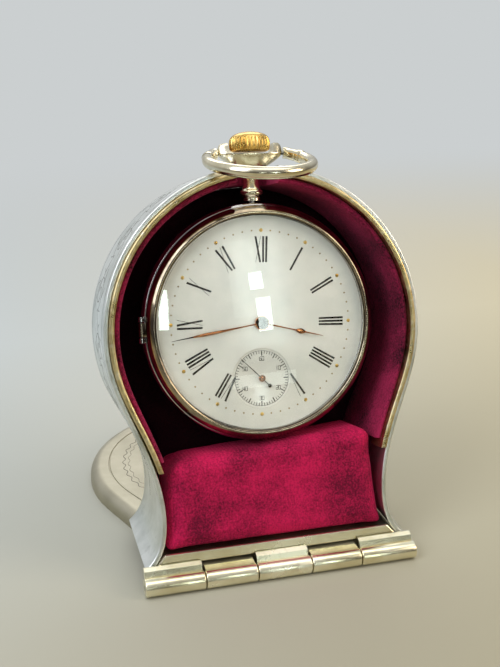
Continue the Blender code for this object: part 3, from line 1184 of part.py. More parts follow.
def build_barrel():
    place = PLACES["barrel"]
    inner = BARREL_DRUM_RADIUS - BARREL_DRUM_WALL
    hole = CENTRE_PINION_RADIUS
    outer = BARREL_DRUM_RADIUS
    floor = BARREL_DRUM_TOP - BARREL_FLOOR_THICKNESS
    profile = [(hole, BARREL_DRUM_TOP), (outer, BARREL_DRUM_TOP), (outer, BARREL_DRUM_LOW)]
    profile += [(inner, BARREL_DRUM_LOW), (inner, floor), (hole, floor)]
    seat("mainspring_barrel", turned_mesh("mainspring_barrel", profile, WHEEL_STEPS, True), place, brass)
    cover = tube_profile(hole, outer, BARREL_COVER_LEVEL - BARREL_COVER_THICKNESS, BARREL_COVER_LEVEL)
    seat("barrel_cover", turned_mesh("barrel_cover", cover, WHEEL_STEPS, True), place, brass)
    core = hole - FREE_GAP
    top = BARREL_DRUM_TOP + RUN_GAP
    arbor = rod_profile(core, RATCHET_TOP - RATCHET_THICKNESS, top)
    seat("barrel_arbor", turned_mesh("barrel_arbor", arbor, SMALL_STEPS), place, steel)
    ratchet = tube_profile(core + RUN_GAP, RATCHET_RADIUS, RATCHET_TOP - RATCHET_THICKNESS, RATCHET_TOP)
    seat("ratchet_wheel", turned_mesh("ratchet_wheel", ratchet, WHEEL_STEPS, True), place, steel)
    ribbon("mainspring", SPRING_INNER_RADIUS, SPRING_OUTER_RADIUS, SPRING_TURNS, SPRING_LOW, SPRING_TOP,
           SPRING_THICKNESS, place, steel)
    hub_low = RATCHET_TOP - RATCHET_THICKNESS - RUN_GAP
    wheel = stepped_profile(CROWN_WHEEL_HUB_RADIUS, CONTRATE_TOP + RUN_GAP, hub_low,
                            [(CONTRATE_RADIUS, CONTRATE_TOP, RATCHET_THICKNESS / 2),
                             (CROWN_WHEEL_RADIUS, RATCHET_TOP, RATCHET_THICKNESS)])
    seat("crown_wheel", turned_mesh("crown_wheel", wheel, WHEEL_STEPS), PLACES["crown_wheel"], steel)
    # Click: a pointed lever whose tip lies against the ratchet wheel
    half = CLICK_WIDTH / 2
    outline = [(-half, -half), (half, -half), (half, half), (0, CLICK_LENGTH), (-half, half)]
    step = polar(CLICK_OFFSET, CLICK_BEARING)
    spot = (place[0] + step[0], place[1] + step[1])
    mesh = flat_mesh("click", [outline], RATCHET_TOP - RATCHET_THICKNESS, RATCHET_TOP)
    seat("click", mesh, spot, steel, CLICK_BEARING + math.pi / 2 - CLICK_LEAN)


def build_balance():
    place = PLACES["balance"]
    inner = BALANCE_RADIUS - BALANCE_RIM_WIDTH
    half = BALANCE_ARM_WIDTH / 2
    start = math.asin(half / inner)
    holes = []
    for base in (0, math.pi):
        turns = [base + start + (math.pi - 2 * start) * i / 10 for i in range(11)]
        holes.append([polar(inner, a) for a in turns])
    low = BALANCE_LEVEL - BALANCE_THICKNESS
    loops = [circle(BALANCE_RADIUS, WHEEL_STEPS)] + holes
    wheel = seat("balance_wheel", flat_mesh("balance_wheel", loops, low, BALANCE_LEVEL), place, brass)
    staff = stepped_profile(ARBOR_RADIUS, ARBOR_TOP, ARBOR_LOW,
                            [(ROLLER_RADIUS, ROLLER_TOP, ROLLER_THICKNESS),
                             (ROLLER_RADIUS, BALANCE_LEVEL + RUN_GAP, BALANCE_THICKNESS + RUN_GAP * 2)])
    join(wheel, hold("balance_staff", turned_mesh("balance_staff", staff, SMALL_STEPS), dial_frame, None,
                     (*place, 0), cutter=True))
    spring_low = HAIRSPRING_LEVEL - HAIRSPRING_HEIGHT
    ribbon("hairspring", HAIRSPRING_INNER_RADIUS, HAIRSPRING_OUTER_RADIUS, HAIRSPRING_TURNS, spring_low,
           HAIRSPRING_LEVEL, HAIRSPRING_THICKNESS, place, blued)

    # Pallet fork: two arms towards the escape wheel, a lever towards the balance
    half = PALLET_WIDTH / 2
    arm = PALLET_ARM_LENGTH
    right = [(half, PALLET_FORK_LENGTH), (half, half), (arm, half), (arm + half, -PALLET_STONE_LENGTH),
             (arm - half, -PALLET_STONE_LENGTH), (arm - half * 2, -half)]
    outline = right + [(-x, y) for x, y in reversed(right)]
    low = ESCAPE_LEVEL - WHEEL_THICKNESS
    line = Vector(PLACES["balance"]) - Vector(PLACES["escape"])
    turn = math.atan2(line.y, line.x) - math.pi / 2
    mesh = flat_mesh("pallet_fork", [outline], low, ESCAPE_LEVEL)
    fork = seat("pallet_fork", mesh, PLACES["pallet"], steel, turn)
    arbor = rod_profile(ARBOR_RADIUS - RUN_GAP, PALLET_BRIDGE_LEVEL + FREE_GAP, ARBOR_TOP)
    join(fork, hold("pallet_arbor", turned_mesh("pallet_arbor", arbor, SMALL_STEPS), dial_frame, None,
                    (*PLACES["pallet"], 0), cutter=True))


# Smooth shading, with the sharp edges kept by their angle
def shade():
    for body in parts.objects:
        if body.type == "MESH":
            body.data.shade_smooth()
            body.data.set_sharp_from_angle(angle=math.radians(35))


build_case()
build_hinge()
build_lid()
build_velvet()
build_watch_case()
build_pendant()
build_crown()
build_dial()
build_plates()
build_train()
build_barrel()
build_balance()
shade()
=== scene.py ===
from math import copysign, cos, exp, pi, radians, sin, sqrt

import bmesh
import bpy
from mathutils import Matrix, Vector, noise


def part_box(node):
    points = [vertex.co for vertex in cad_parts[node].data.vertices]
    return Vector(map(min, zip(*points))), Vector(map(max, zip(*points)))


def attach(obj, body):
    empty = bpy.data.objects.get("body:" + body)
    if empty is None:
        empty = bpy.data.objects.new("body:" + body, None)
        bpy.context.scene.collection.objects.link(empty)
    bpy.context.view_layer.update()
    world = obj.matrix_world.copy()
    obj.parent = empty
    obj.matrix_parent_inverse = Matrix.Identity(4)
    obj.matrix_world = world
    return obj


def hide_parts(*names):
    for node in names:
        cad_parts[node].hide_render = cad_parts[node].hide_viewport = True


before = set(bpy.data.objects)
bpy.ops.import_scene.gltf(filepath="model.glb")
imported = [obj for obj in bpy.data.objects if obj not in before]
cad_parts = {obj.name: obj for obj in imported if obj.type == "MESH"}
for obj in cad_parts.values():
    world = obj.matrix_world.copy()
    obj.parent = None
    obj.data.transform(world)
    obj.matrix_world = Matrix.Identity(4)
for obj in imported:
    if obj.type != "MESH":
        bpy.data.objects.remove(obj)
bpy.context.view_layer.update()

# Travel watch: a pocket watch in its silver travelling case, standing on the folded lid.
# All shapes below are in millimetres in one of these frames, and become metres when built.
mm = 0.001
lean = radians(14)
quarter = pi / 2
fullTurn = 2 * pi
watchHeight = 50.4
watchDepth = -10.3
bowPivot = 35.1
seatGap = 0.3


def spin(angle, axis):
    return Matrix.Rotation(angle, 4, axis)


def frames():
    low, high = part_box("hinge_pin")
    lid = Matrix.Translation((low + high) / 2) @ Matrix.Scale(mm, 4)
    face = lid @ spin(quarter - lean, "X")
    watch = face @ Matrix.Translation((0, watchHeight, watchDepth)) @ spin(radians(-1), "Z")
    return {"lid": lid, "face": face, "watch": watch, "barrel": lid @ spin(quarter, "Y"),
            "upright": watch @ spin(-quarter, "X"),  # turned pieces on the winding stem
            "dial": watch @ spin(radians(-2), "Z"),
            "bow": watch @ Matrix.Translation((0, bowPivot, 0)) @ spin(radians(106.7), "X")}


places = frames()


def link(name, data):
    thing = bpy.data.objects.new(name, data)
    bpy.context.scene.collection.objects.link(thing)
    return thing


# Camera

cameraSpot = {"place": (-55.64, -210.88, 115.1), "turn": (70.891, -0.401, -15.575), "lens": 53.97,
              "sensor": 36, "clip": 5}


def addCamera():
    data = bpy.data.cameras.new("camera")
    data.lens = cameraSpot["lens"]
    data.sensor_width = cameraSpot["sensor"]
    data.clip_start = cameraSpot["clip"] * mm
    camera = link("camera", data)
    camera.location = Vector(cameraSpot["place"]) * mm
    camera.rotation_euler = [radians(a) for a in cameraSpot["turn"]]
    bpy.context.scene.camera = camera


addCamera()
print("camera placed")


# Materials

def hexColour(code):
    channels = [int(code[i:i + 2], 16) / 255 for i in (1, 3, 5)]
    linear = [c / 12.92 if c <= 0.04045 else ((c + 0.055) / 1.055) ** 2.4 for c in channels]
    return (*linear, 1)


def addNode(tree, kind, settings=None, inputs=None):
    node = tree.nodes.new("ShaderNode" + kind)
    for key, value in (settings or {}).items():
        setattr(node, key, value)
    for key, value in (inputs or {}).items():
        if isinstance(value, bpy.types.NodeSocket):
            tree.links.new(value, node.inputs[key])
        else:
            node.inputs[key].default_value = value
    return node


def addNoise(tree, spot, size, detail, rough=0.5):
    # a noise whose features are size millimetres wide, on coordinates in metres
    return addNode(tree, "TexNoise", {}, {"Vector": spot, "Scale": 1 / (size * mm), "Detail": detail,
                                          "Roughness": rough}).outputs["Fac"]


def addRange(tree, value, start, end, low=0.0, high=1.0, kind="LINEAR"):
    limits = {"From Min": start, "From Max": end, "To Min": low, "To Max": high}
    return addNode(tree, "MapRange", {"interpolation_type": kind}, {"Value": value, **limits}).outputs[0]


def addMath(tree, operation, *values):
    return addNode(tree, "Math", {"operation": operation}, dict(enumerate(values))).outputs[0]


def addTones(tree, value, tones, stops=(0, 1)):
    node = addNode(tree, "ValToRGB", {}, {"Fac": value})
    elements = node.color_ramp.elements
    for i, (tone, stop) in enumerate(zip(tones, stops)):
        element = elements[i] if i < 2 else elements.new(stop)
        element.position = stop
        element.color = hexColour(tone)
    return node.outputs["Color"]


def addMix(tree, share, first, second):
    mix = addNode(tree, "Mix", {"data_type": "RGBA"}, {"Factor": share, "A": first, "B": second})
    return mix.outputs["Result"]


def addShaderMix(tree, share, first, second):
    mix = addNode(tree, "MixShader", {}, {0: share, 1: first.outputs[0], 2: second.outputs[0]})
    tree.links.new(mix.outputs[0], tree.nodes["Material Output"].inputs["Surface"])


def startMaterial(name, plain):
    material = bpy.data.materials.new(name)
    material.use_nodes = True
    tree = material.node_tree
    shader = tree.nodes["Principled BSDF"]
    for key, value in plain.items():
        shader.inputs[key].default_value = value
    return material, tree, shader, addNode(tree, "TexCoord").outputs["Object"]


def plug(tree, shader, colour, rough, height=None, depth=0):
    tree.links.new(colour, shader.inputs["Base Color"])
    tree.links.new(rough, shader.inputs["Roughness"])
    if height is not None:
        bump = addNode(tree, "Bump", {}, {"Height": height, "Strength": 1.0, "Distance": depth * mm})
        tree.links.new(bump.outputs[0], shader.inputs["Normal"])


# Colour from two tones mixed by a soft noise, roughness between two limits, and a fine bump.
# The edge is what rubbed spots show: size in mm, where it starts and ends in the noise, most, tone.
def finish(name, tones, patch, rough, grain, depth, plain, edge=None, stretch=(1, 1, 1)):
    material, tree, shader, spot = startMaterial(name, plain)
    mapped = addNode(tree, "Mapping", {}, {"Vector": spot, "Scale": stretch}).outputs[0]
    cloud = addNoise(tree, mapped, patch, 6.0, 0.6)
    colour = addTones(tree, cloud, tones, (0.35, 0.65))
    if edge:
        size, start, end, most, tone = edge
        rubbed = addRange(tree, addNoise(tree, spot, size, 4.0), start, end, 0.0, most)
        colour = addMix(tree, rubbed, colour, hexColour(tone))
    span = addRange(tree, cloud, 0.3, 0.7, *rough)
    plug(tree, shader, colour, span, addNoise(tree, mapped, grain, 3.0), depth)
    return material


metal = {"Metallic": 1.0}
# Sterling silver of the lid, dulled by the table it stands on: matte beige-grey, nearly even
sterlingSilver = finish("dulled sterling silver", ("#a49e8a", "#bab4a0"), 14, (0.4, 0.5), 0.5, 0.002, metal)
# The hinge and the sill keep some old gilding: warm, between gold and silver
warmSilver = finish("silver with old gilding", ("#e2d8b2", "#fffae0"), 12, (0.2, 0.3), 0.4, 0.002, metal,
                    (1.4, 0.6, 0.8, 0.3, "#a3915f"))
# The outside of the wall is handled more: paler, greener and duller
handledSilver = finish("handled sterling silver", ("#d2d6d0", "#f3f5f2"), 9, (0.28, 0.4), 0.4, 0.003, metal,
                       (2.2, 0.6, 0.82, 0.35, "#8d9086"))
# Fire gilding rubbed thin: dull beige with silver showing through
wornGilding = finish("worn fire gilding", ("#b09c6c", "#ddcb9a"), 4, (0.24, 0.4), 0.3, 0.003, metal,
                     (1.1, 0.5, 0.7, 0.7, "#ddd4bc"))
# The watch case is burnished silver, bright and nearly free of tarnish
burnishedSilver = finish("burnished watch silver", ("#a5a2a4", "#cfcbc8"), 5, (0.05, 0.13), 0.35, 0.002, metal)
# The bezel's silver is painted a darker warm grey, a painted dark reflection of the velvet round it
bezelSilverDarkReflection = finish("bezel silver darkened as painted reflection", ("#6c6055", "#aa9d84"), 5, (0.05, 0.12), 0.35, 0.002, metal)
# The bow and the pendant head are silver tinted warm: a painted warm reflection of the room
bowSilverWarmReflection = finish("bow silver with painted warm reflection", ("#cfc5a6", "#f1e9d1"), 6, (0.14, 0.24), 0.35, 0.002, metal)
# Sulphide left in the cuts of the engraving: a dull brown-grey
cutTarnish = finish("tarnish in the engraving", ("#46433a", "#77736a"), 1.5, (0.45, 0.7), 0.15, 0.003,
                    {"Metallic": 0.7})
# The crown and the hour dots shine in warm yellow
yellowGold = finish("18 carat yellow gold", ("#c99f4e", "#ecc97a"), 4, (0.24, 0.32), 0.4, 0.0003, metal)
# The hour and minute hands are of a redder gold
roseGold = finish("rose gold, filed and polished", ("#a2623c", "#d69767"), 1.8, (0.14, 0.28), 0.2, 0.002, metal)
# The seconds hand and the minute hand's tip and boss look nearly black
darkHand = finish("blued and lacquered hand steel", ("#1d1813", "#3a3026"), 1.2, (0.2, 0.35), 0.2, 0.002,
                  {"Metallic": 0.8})
# Metals of the movement: the stretched noise gives the eye the lines of grinding and rolling
carbonSteel = finish("ground carbon steel", ("#7d7e80", "#a6a7a9"), 2, (0.22, 0.38), 0.12, 0.003, metal,
                     stretch=(6, 1, 1))
rolledBrass = finish("rolled clock brass", ("#b08d4a", "#d8b873"), 2.4, (0.2, 0.34), 0.14, 0.003, metal,
                     stretch=(1, 5, 1))
nickelSilver = finish("grained nickel silver", ("#a9a69b", "#cfcdc3"), 3, (0.2, 0.32), 0.16, 0.004, metal,
                      stretch=(1, 7, 1))
bluedSteel = finish("heat blued steel", ("#14213f", "#2e4a86"), 0.8, (0.12, 0.25), 0.12, 0.002, metal)
# Fired enamel over copper: glassy, ivory, with a slight orange peel
firedEnamel = finish("fired ivory enamel", ("#cdccc3", "#dcd9cf"), 11, (0.16, 0.26), 1.1, 0.004,
                     {"Coat Weight": 0.5, "Coat Roughness": 0.06, "IOR": 1.5})
# The painted black is fired on last and stands a hair proud
enamelBlack = finish("fired black enamel paint", ("#16120c", "#2c251a"), 1.4, (0.2, 0.34), 0.3, 0.003,
                     {"IOR": 1.5})
# The minute dots are gold paint gone brown
brownGold = finish("browned gold paint", ("#77674a", "#a08c60"), 1.2, (0.3, 0.45), 0.2, 0.003, {"Metallic": 0.4})


def makeVelvet(name, low, high, tint, sheen, ribs=False):
    # Silk pile velvet: dark where one looks into the pile, crimson where it lies flat, with a soft sheen
    material, tree, shader, spot = startMaterial(name, {"Metallic": 0.0, "IOR": 1.45, "Sheen Weight": sheen,
                                                        "Specular IOR Level": 0.15, "Sheen Roughness": 0.4,
                                                        "Sheen Tint": hexColour(tint)})
    brushed = addNoise(tree, spot, 11, 4.0, 0.55)
    height = addMath(tree, "MULTIPLY_ADD", addNoise(tree, spot, 0.4, 2.0), 0.7, brushed)  # tufts over patches
    colour = addTones(tree, height, (low, high), (0.62, 1.0))
    if ribs:  # the pile is crushed into fine upright ribs
        wave = addNode(tree, "TexWave", {"bands_direction": "X"}, {
            "Vector": spot, "Scale": 1 / (0.75 * mm) * fullTurn / 20, "Distortion": 2.5, "Detail Scale": 0.6})
        height = addMath(tree, "MULTIPLY_ADD", wave.outputs["Fac"], 0.4, height)
    plug(tree, shader, colour, addRange(tree, brushed, 0.0, 1.0, 0.75, 0.95), height, 0.22)
    return material


cushionVelvet = makeVelvet("crimson silk velvet", "#650c2b", "#c81c52", "#f0507c", 0.35, True)
wallVelvet = makeVelvet("crimson velvet on the wall", "#240813", "#a4264f", "#dc7092", 0.35)
# The back and lid linings are painted near black: painted shade deep inside the case
liningVelvetPaintedShade = makeVelvet("velvet lining painted dark as shade", "#0a0204", "#260510", "#5a1228", 0.1)


def makeGlass():
    # Ground and polished crown glass: clear, with faint hairlines; light passes it without a hard shadow
    material, tree, shader, spot = startMaterial("watch crystal glass", {"IOR": 1.5, "Transmission Weight": 1.0})
    hair = addNoise(tree, spot, 4, 3.0)
    plug(tree, shader, addTones(tree, hair, ("#f4f8f6", "#ffffff")), addRange(tree, hair, 0.0, 1.0, 0.0, 0.03))
    shadow = addNode(tree, "LightPath").outputs["Is Shadow Ray"]
    addShaderMix(tree, shadow, shader, addNode(tree, "BsdfTransparent"))
    return material


crystalGlass = makeGlass()
print("materials ready")


# Mesh helpers

def evenly(count, end=1.0):
    return [end * i / count for i in range(count + 1)]


def circle(radius, steps, centre=(0, 0)):
    return [(centre[0] + radius * cos(a), centre[1] + radius * sin(a)) for a in evenly(steps, fullTurn)[:-1]]


def toMesh(name, work):
    mesh = bpy.data.meshes.new(name)
    work.to_mesh(mesh)
    work.free()
    return mesh


def evaluated(thing):
    return bpy.data.meshes.new_from_object(thing.evaluated_get(bpy.context.evaluated_depsgraph_get()))


def addPiece(name, work, where, material, body, node=None, smoothAngle=38):
    bmesh.ops.recalc_face_normals(work, faces=work.faces)
    mesh = toMesh(name, work)
    mesh.transform(places[where])
    mesh.shade_smooth()
    mesh.set_sharp_from_angle(angle=radians(smoothAngle))
    mesh.materials.append(material)
    piece = link(name, mesh)
    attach(piece, body)
    if node:
        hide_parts(node)
    return piece


# Rings of equally many points become a skin. A ring of one point is a pole.
def skin(work, rings, closeRings=True, capped=True, looped=False):
    rows = [[work.verts.new(p) for p in ring] for ring in rings]
    pairs = list(zip(rows, rows[1:])) + ([(rows[-1], rows[0])] if looped else [])
    for low, high in pairs:
        count = max(len(low), len(high))
        for i in range(count if closeRings else count - 1):
            j = (i + 1) % count
            corners = [low[i % len(low)], low[j % len(low)], high[j % len(high)], high[i % len(high)]]
            corners = [c for k, c in enumerate(corners) if c not in corners[:k]]
            if len(corners) > 2:
                work.faces.new(corners)
    for row in (rows[0], rows[-1]) if capped else ():
        work.faces.new(row)
    return rows


def turned(work, profile, steps=128, looped=False, centre=(0, 0), wave=None):
    rings = []
    for radius, level in profile:
        if radius < 1e-6:
            rings.append([(*centre, level)])
            continue
        ring = []
        for a in evenly(steps, fullTurn)[:-1]:
            r = radius * (wave(a, level) if wave else 1)
            ring.append((centre[0] + r * cos(a), centre[1] + r * sin(a), level))
        rings.append(ring)
    skin(work, rings, capped=False, looped=looped)


def atLevel(outline, z):
    return [(x, y, z) for x, y in outline]


def prism(work, outline, low, high):
    skin(work, [atLevel(outline, low), atLevel(outline, high)])


def box(work, low, high, soft=0):
    made = bmesh.ops.create_cube(work, size=1)["verts"]
    bmesh.ops.scale(work, vec=Vector(high) - Vector(low), verts=made)
    bmesh.ops.translate(work, vec=(Vector(low) + Vector(high)) / 2, verts=made)
    if soft:
        edges = {e for v in made for e in v.link_edges}
        bmesh.ops.bevel(work, geom=list(edges), offset=soft, segments=3, profile=0.5, affect="EDGES")


def rounded(points, steps=6):
    # Catmull-Rom curve through the points
    points = [Vector(p) for p in points]
    padded = [points[0] * 2 - points[1]] + points + [points[-1] * 2 - points[-2]]
    curve = []
    for a, b, c, d in zip(padded, padded[1:], padded[2:], padded[3:]):
        for t in evenly(steps)[:-1]:
            curve.append(0.5 * (2 * b + (c - a) * t + (2 * a - 5 * b + 4 * c - d) * t * t
                                + (3 * b - a - 3 * c + d) * t ** 3))
    return [tuple(p) for p in curve + [points[-1]]]


def headings(path):
    # each point of a path, the way ahead there, and its share of the path
    for i, point in enumerate(path):
        ahead = path[min(i + 1, len(path) - 1)] - path[max(i - 1, 0)]
        yield point, ahead.normalized(), i / (len(path) - 1)


def tube(work, path, radius, sides):
    rings = []
    side = Vector((0, 0, 1))
    for point, ahead, share in headings([Vector(p) for p in path]):
        side = (side - ahead * side.dot(ahead)).normalized()
        other = ahead.cross(side)
        rings.append([point + side * x + other * y for x, y in circle(radius(share), sides)])
    skin(work, rings)


def merge(work, other, turn):
    spare = toMesh("spare", other)
    spare.transform(turn)
    work.from_mesh(spare)
    bpy.data.meshes.remove(spare)


def cutAway(work, cutter):
    # Boolean with its result read back, so no modifier is left
    objects = []
    for name, source in (("body", work), ("cutter", cutter)):
        bmesh.ops.recalc_face_normals(source, faces=source.faces)
        objects.append(link(name, toMesh(name, source)))
    change = objects[0].modifiers.new("cut", "BOOLEAN")
    change.operation = "DIFFERENCE"
    change.solver = "EXACT"
    change.object = objects[1]
    bpy.context.view_layer.update()
    result = bmesh.new()
    result.from_object(objects[0], bpy.context.evaluated_depsgraph_get())
    for thing in objects:
        bpy.data.objects.remove(thing, do_unlink=True)
    return result


# The keyhole outline of the case

caseShape = {"radius": 33.4, "centre": 49.2, "neckStart": -13.3, "neckPull": 9.0, "waistPull": 11.0,
             "waistHalf": 24.3, "waistRise": 9.8, "footHalf": 28.3, "footIn": 2.9, "footDown": 4.4,
             "footUp": 2.2, "footInset": 1.6, "rim": -2.2, "back": -24.2, "wall": 1.0, "edgeRound": 2.0,
             "rimRound": 0.28, "clear": 2.2, "plate": 1.0, "slotHalf": 4.3, "lipEnd": 22.3}
plateTop = caseShape["clear"] + caseShape["plate"] + seatGap


def bezier(start, pull, push, end, steps):
    points = []
    for t in evenly(steps)[1:]:
        weights = ((1 - t) ** 3, 3 * t * (1 - t) ** 2, 3 * t * t * (1 - t), t ** 3)
        points.append(tuple(sum(w * k[n] for w, k in zip(weights, (start, pull, push, end))) for n in (0, 1)))
    return points


def footHeight(z, clear=caseShape["clear"]):
    return (clear - sin(lean) * z) / cos(lean)


def halfOutline(inset, foot, legEnd=None, steps=(64, 22, 12)):
    c = caseShape
    radius = c["radius"] - inset
    first = radians(c["neckStart"])
    turns = [quarter + turn for turn in evenly(steps[0], first - quarter)]
    points = [(radius * cos(a), c["centre"] + radius * sin(a)) for a in turns]
    start = points[-1]
    pull = (start[0] + c["neckPull"] * sin(first), start[1] - c["neckPull"] * cos(first))
    waist = (c["waistHalf"] - inset, foot + c["waistRise"])
    points += bezier(start, pull, (waist[0], waist[1] + c["waistPull"]), waist, steps[1])
    if legEnd is not None:
        return points + [(waist[0], waist[1] + rise) for rise in evenly(8, legEnd - waist[1])[1:]]
    tip = (c["footHalf"] - inset * c["footInset"], foot)
    side = (tip[0] - c["footIn"] + inset * (c["footInset"] - 1), foot + c["footUp"])
    return points + bezier(waist, (waist[0], waist[1] - c["footDown"]), side, tip, steps[2])


def mirrored(half):
    return list(reversed(half)) + [(-x, y) for x, y in half[1:]]


def trimmed(half, floor):
    kept = [p for p in half if p[1] > floor + 0.02]
    below, above = half[min(len(kept), len(half) - 1)], kept[-1]
    share = (above[1] - floor) / (above[1] - below[1]) if above[1] > below[1] else 0
    return kept + [(above[0] + (below[0] - above[0]) * share, floor)]


def slotCutter():
    # the U slot for the pendant, open to the front and right through the top of the case
    half, front = caseShape["slotHalf"], caseShape["rim"] + 3
    turns = [pi + turn for turn in evenly(32, pi)]
    outline = [(half * cos(a), watchDepth + half * sin(a)) for a in turns] + [(half, front), (-half, front)]
    work = bmesh.new()
    levels = (watchHeight + 20, caseShape["centre"] + caseShape["radius"] + 3)
    skin(work, [[(x, y, z) for x, z in outline] for y in levels])
    return work


def buildCase():
    c = caseShape
    back, soft, wall, small = c["back"], c["edgeRound"], c["wall"], c["rimRound"]
    top, low = c["rim"] - small, back + soft
    rounds = evenly(8, quarter)
    profile = [(soft * (1 - cos(a)), back + soft * (1 - sin(a))) for a in reversed(rounds)]
    profile += [(0, low + rise) for rise in evenly(12, top - low)[1:]]
    profile += [(small * (1 - cos(a)), top + small * sin(a)) for a in rounds[2::2]]
    profile += [(wall - small * (1 - cos(a)), top + small * sin(a)) for a in reversed(rounds[:-1:2])]
    profile += [(wall, back + wall)]
    work = bmesh.new()
    rings = [atLevel(mirrored(halfOutline(inset, footHeight(z))), z) for inset, z in profile]
    rows = skin(work, rings, closeRings=False)
    # The foot end stays open: a strip joins the outer and inner back along it,
    # and strips close the wall's ends.
    outer, inner = rows[0], rows[-1]
    work.faces.new((outer[0], outer[-1], inner[-1], inner[0]))
    for side in (0, -1):
        work.faces.new([row[side] for row in rows])
    work = cutAway(work, slotCutter())
    addPiece("caseShell", work, "face", handledSilver, "case", "case_shell", 30)


lipShape = {"inset": 1.06, "width": 1.08, "back": -7.2, "front": -1.2, "round": 0.3}


def buildLips():
    s = lipShape
    near, wide, back, top = s["inset"], s["width"], s["back"], s["front"] - s["round"]
    crown = [(near + wide / 2 * (1 - cos(a)), top + s["round"] * sin(a)) for a in evenly(8, pi)[1:-1]]
    lines = []
    for inset, z in [(near, back), (near, top)] + crown + [(near + wide, top), (near + wide, back)]:
        half = trimmed(halfOutline(inset, footHeight(back), steps=(150, 40, 12)), caseShape["lipEnd"])
        lines.append([(x, y, z) for x, y in half if x > caseShape["slotHalf"]])
    shortest = min(len(line) for line in lines)
    for side, sign in (("Left", -1), ("Right", 1)):
        work = bmesh.new()
        skin(work, list(zip(*[[(sign * x, y, z) for x, y, z in line[-shortest:]] for line in lines])))
        addPiece("rimLip" + side, work, "face", wornGilding, "case", "rim_lip_" + side.lower())


hingeShape = {"radius": 1.9, "bore": 0.65, "seams": (-29.0, -16.7, -5.8, 5.8, 16.7, 29.0), "gap": 0.1,
              "round": 0.22, "web": [(0.4, -1.7), (3.6, -1.9), (3.6, -1.4), (2.98, -0.62), (0.9, -0.4)],
              "leaf": [(0.4, 1.0), (2.2, 1.0), (2.2, 1.9), (0.4, 1.85)], "inset": 0.2}
knuckles = (("case", "left"), ("lid", "left"), ("case", "middle"), ("lid", "right"), ("case", "right"))


def buildHinge():
    h = hingeShape
    end = [(h["radius"] - h["round"] * (1 - sin(a)), h["round"] * (1 - cos(a))) for a in evenly(4, quarter)]
    for n, (body, side) in enumerate(knuckles):
        left = h["seams"][n] + (h["gap"] if n else 0)
        right = h["seams"][n + 1] - (h["gap"] if n < 4 else 0)
        work = bmesh.new()
        profile = [(r, left + x) for r, x in end] + [(r, right - x) for r, x in reversed(end)]
        turned(work, [(h["bore"], left)] + profile + [(h["bore"], right)], 64, True)
        # a web soldered to the sill, or a leaf of the lid, flows into the barrel
        section, turn = h["leaf"], spin(-quarter, "Y")
        if body == "case":
            section, turn = h["web"], turn @ spin(quarter - lean, "X")
        web = bmesh.new()
        skin(web, [[(x, y, z) for y, z in section] for x in (left + h["inset"], right - h["inset"])])
        merge(work, web, turn)
        node = f"{body}_knuckle_{side}"
        addPiece(body + "Knuckle" + side.title(), work, "barrel", warmSilver, body, node)


lidShape = {"near": 2.2, "notch": 4.0, "notchGap": 0.2, "pocket": 5.0, "low": -1.9, "top": 1.9, "round": 2.6,
            "wall": 0.9, "plate": 0.8, "lineInset": 4.6, "lineWidth": 0.42, "lineDepth": 0.22}


def buildLid():
    s = lidShape
    near, low, top, soft = s["near"], s["low"], s["top"], s["round"]
    profile = [(0, low, 0)]
    profile += [(soft * (1 - cos(a)), top - soft * (1 - sin(a)), 0) for a in evenly(10, quarter)]
    # the engraved line that follows the edge is a real groove
    line, half, deep = s["lineInset"], s["lineWidth"] / 2, top - s["lineDepth"]
    profile += [(line - half, top, 1), (line - half / 3, deep, 1), (line + half / 3, deep, 1),
                (line + half, top, 1)]
    work = bmesh.new()
    skin(work, [atLevel(mirrored(halfOutline(inset, near + inset * raised)), z)
                for inset, z, raised in profile])
    pocket = bmesh.new()
    rows = [(s["wall"], low - 1), (s["wall"], top - soft), (soft, top - s["plate"])]
    skin(pocket, [atLevel(mirrored(trimmed(halfOutline(inset, near), s["pocket"])), z) for inset, z in rows])
    work = cutAway(work, pocket)
    seams = hingeShape["seams"]
    for left, right in ((-30, seams[1]), seams[2:4], (seams[4], 30)):
        notch = bmesh.new()
        box(notch, (left - s["notchGap"], -1, low - 1), (right + s["notchGap"], s["notch"], top + 1))
        work = cutAway(work, notch)
    addPiece("lidShell", work, "lid", sterlingSilver, "lid", "lid_shell", 32)


# A stroke of the graver: a thin closed ribbon laid into a surface given by spot(u, v) -> point, normal
def ribbon(work, path, width, spot, rise=0.02, sink=0.05):
    rings = []
    for point, ahead, share in headings([Vector(p) for p in path]):
        across = Vector((-ahead.y, ahead.x)) * width(share) / 2
        corners = []
        for side, lift in ((-1, -sink), (1, -sink), (1, rise), (-1, rise)):
            place, normal = spot(*(point + across * side))
            corners.append(place + normal * lift)
        rings.append(corners)
    skin(work, rings)


def taper(widest, thin=0.25):
    return lambda t: widest * (thin + (1 - thin) * sin(pi * min(max(t, 0.0), 1.0)))


wallLines = {}


def wallSpot(along, z):
    # a place on the outer wall: distance along the outline from the top, right side positive
    key = round(z, 1)
    if key not in wallLines:
        half = [Vector(p) for p in halfOutline(0, footHeight(key), steps=(90, 30, 12))]
        lengths = [0]
        for a, b in zip(half, half[1:]):
            lengths.append(lengths[-1] + (b - a).length)
        wallLines[key] = (half, lengths)
    half, lengths = wallLines[key]
    want = min(abs(along), lengths[-1] - 0.01)
    index = max(i for i, length in enumerate(lengths[:-1]) if length <= want)
    a, b = half[index], half[index + 1]
    point = a.lerp(b, (want - lengths[index]) / (lengths[index + 1] - lengths[index]))
    ahead = (b - a).normalized()
    sign = 1 if along >= 0 else -1
    return Vector((sign * point.x, point.y, z)), Vector((-ahead.y * sign, ahead.x, 0))


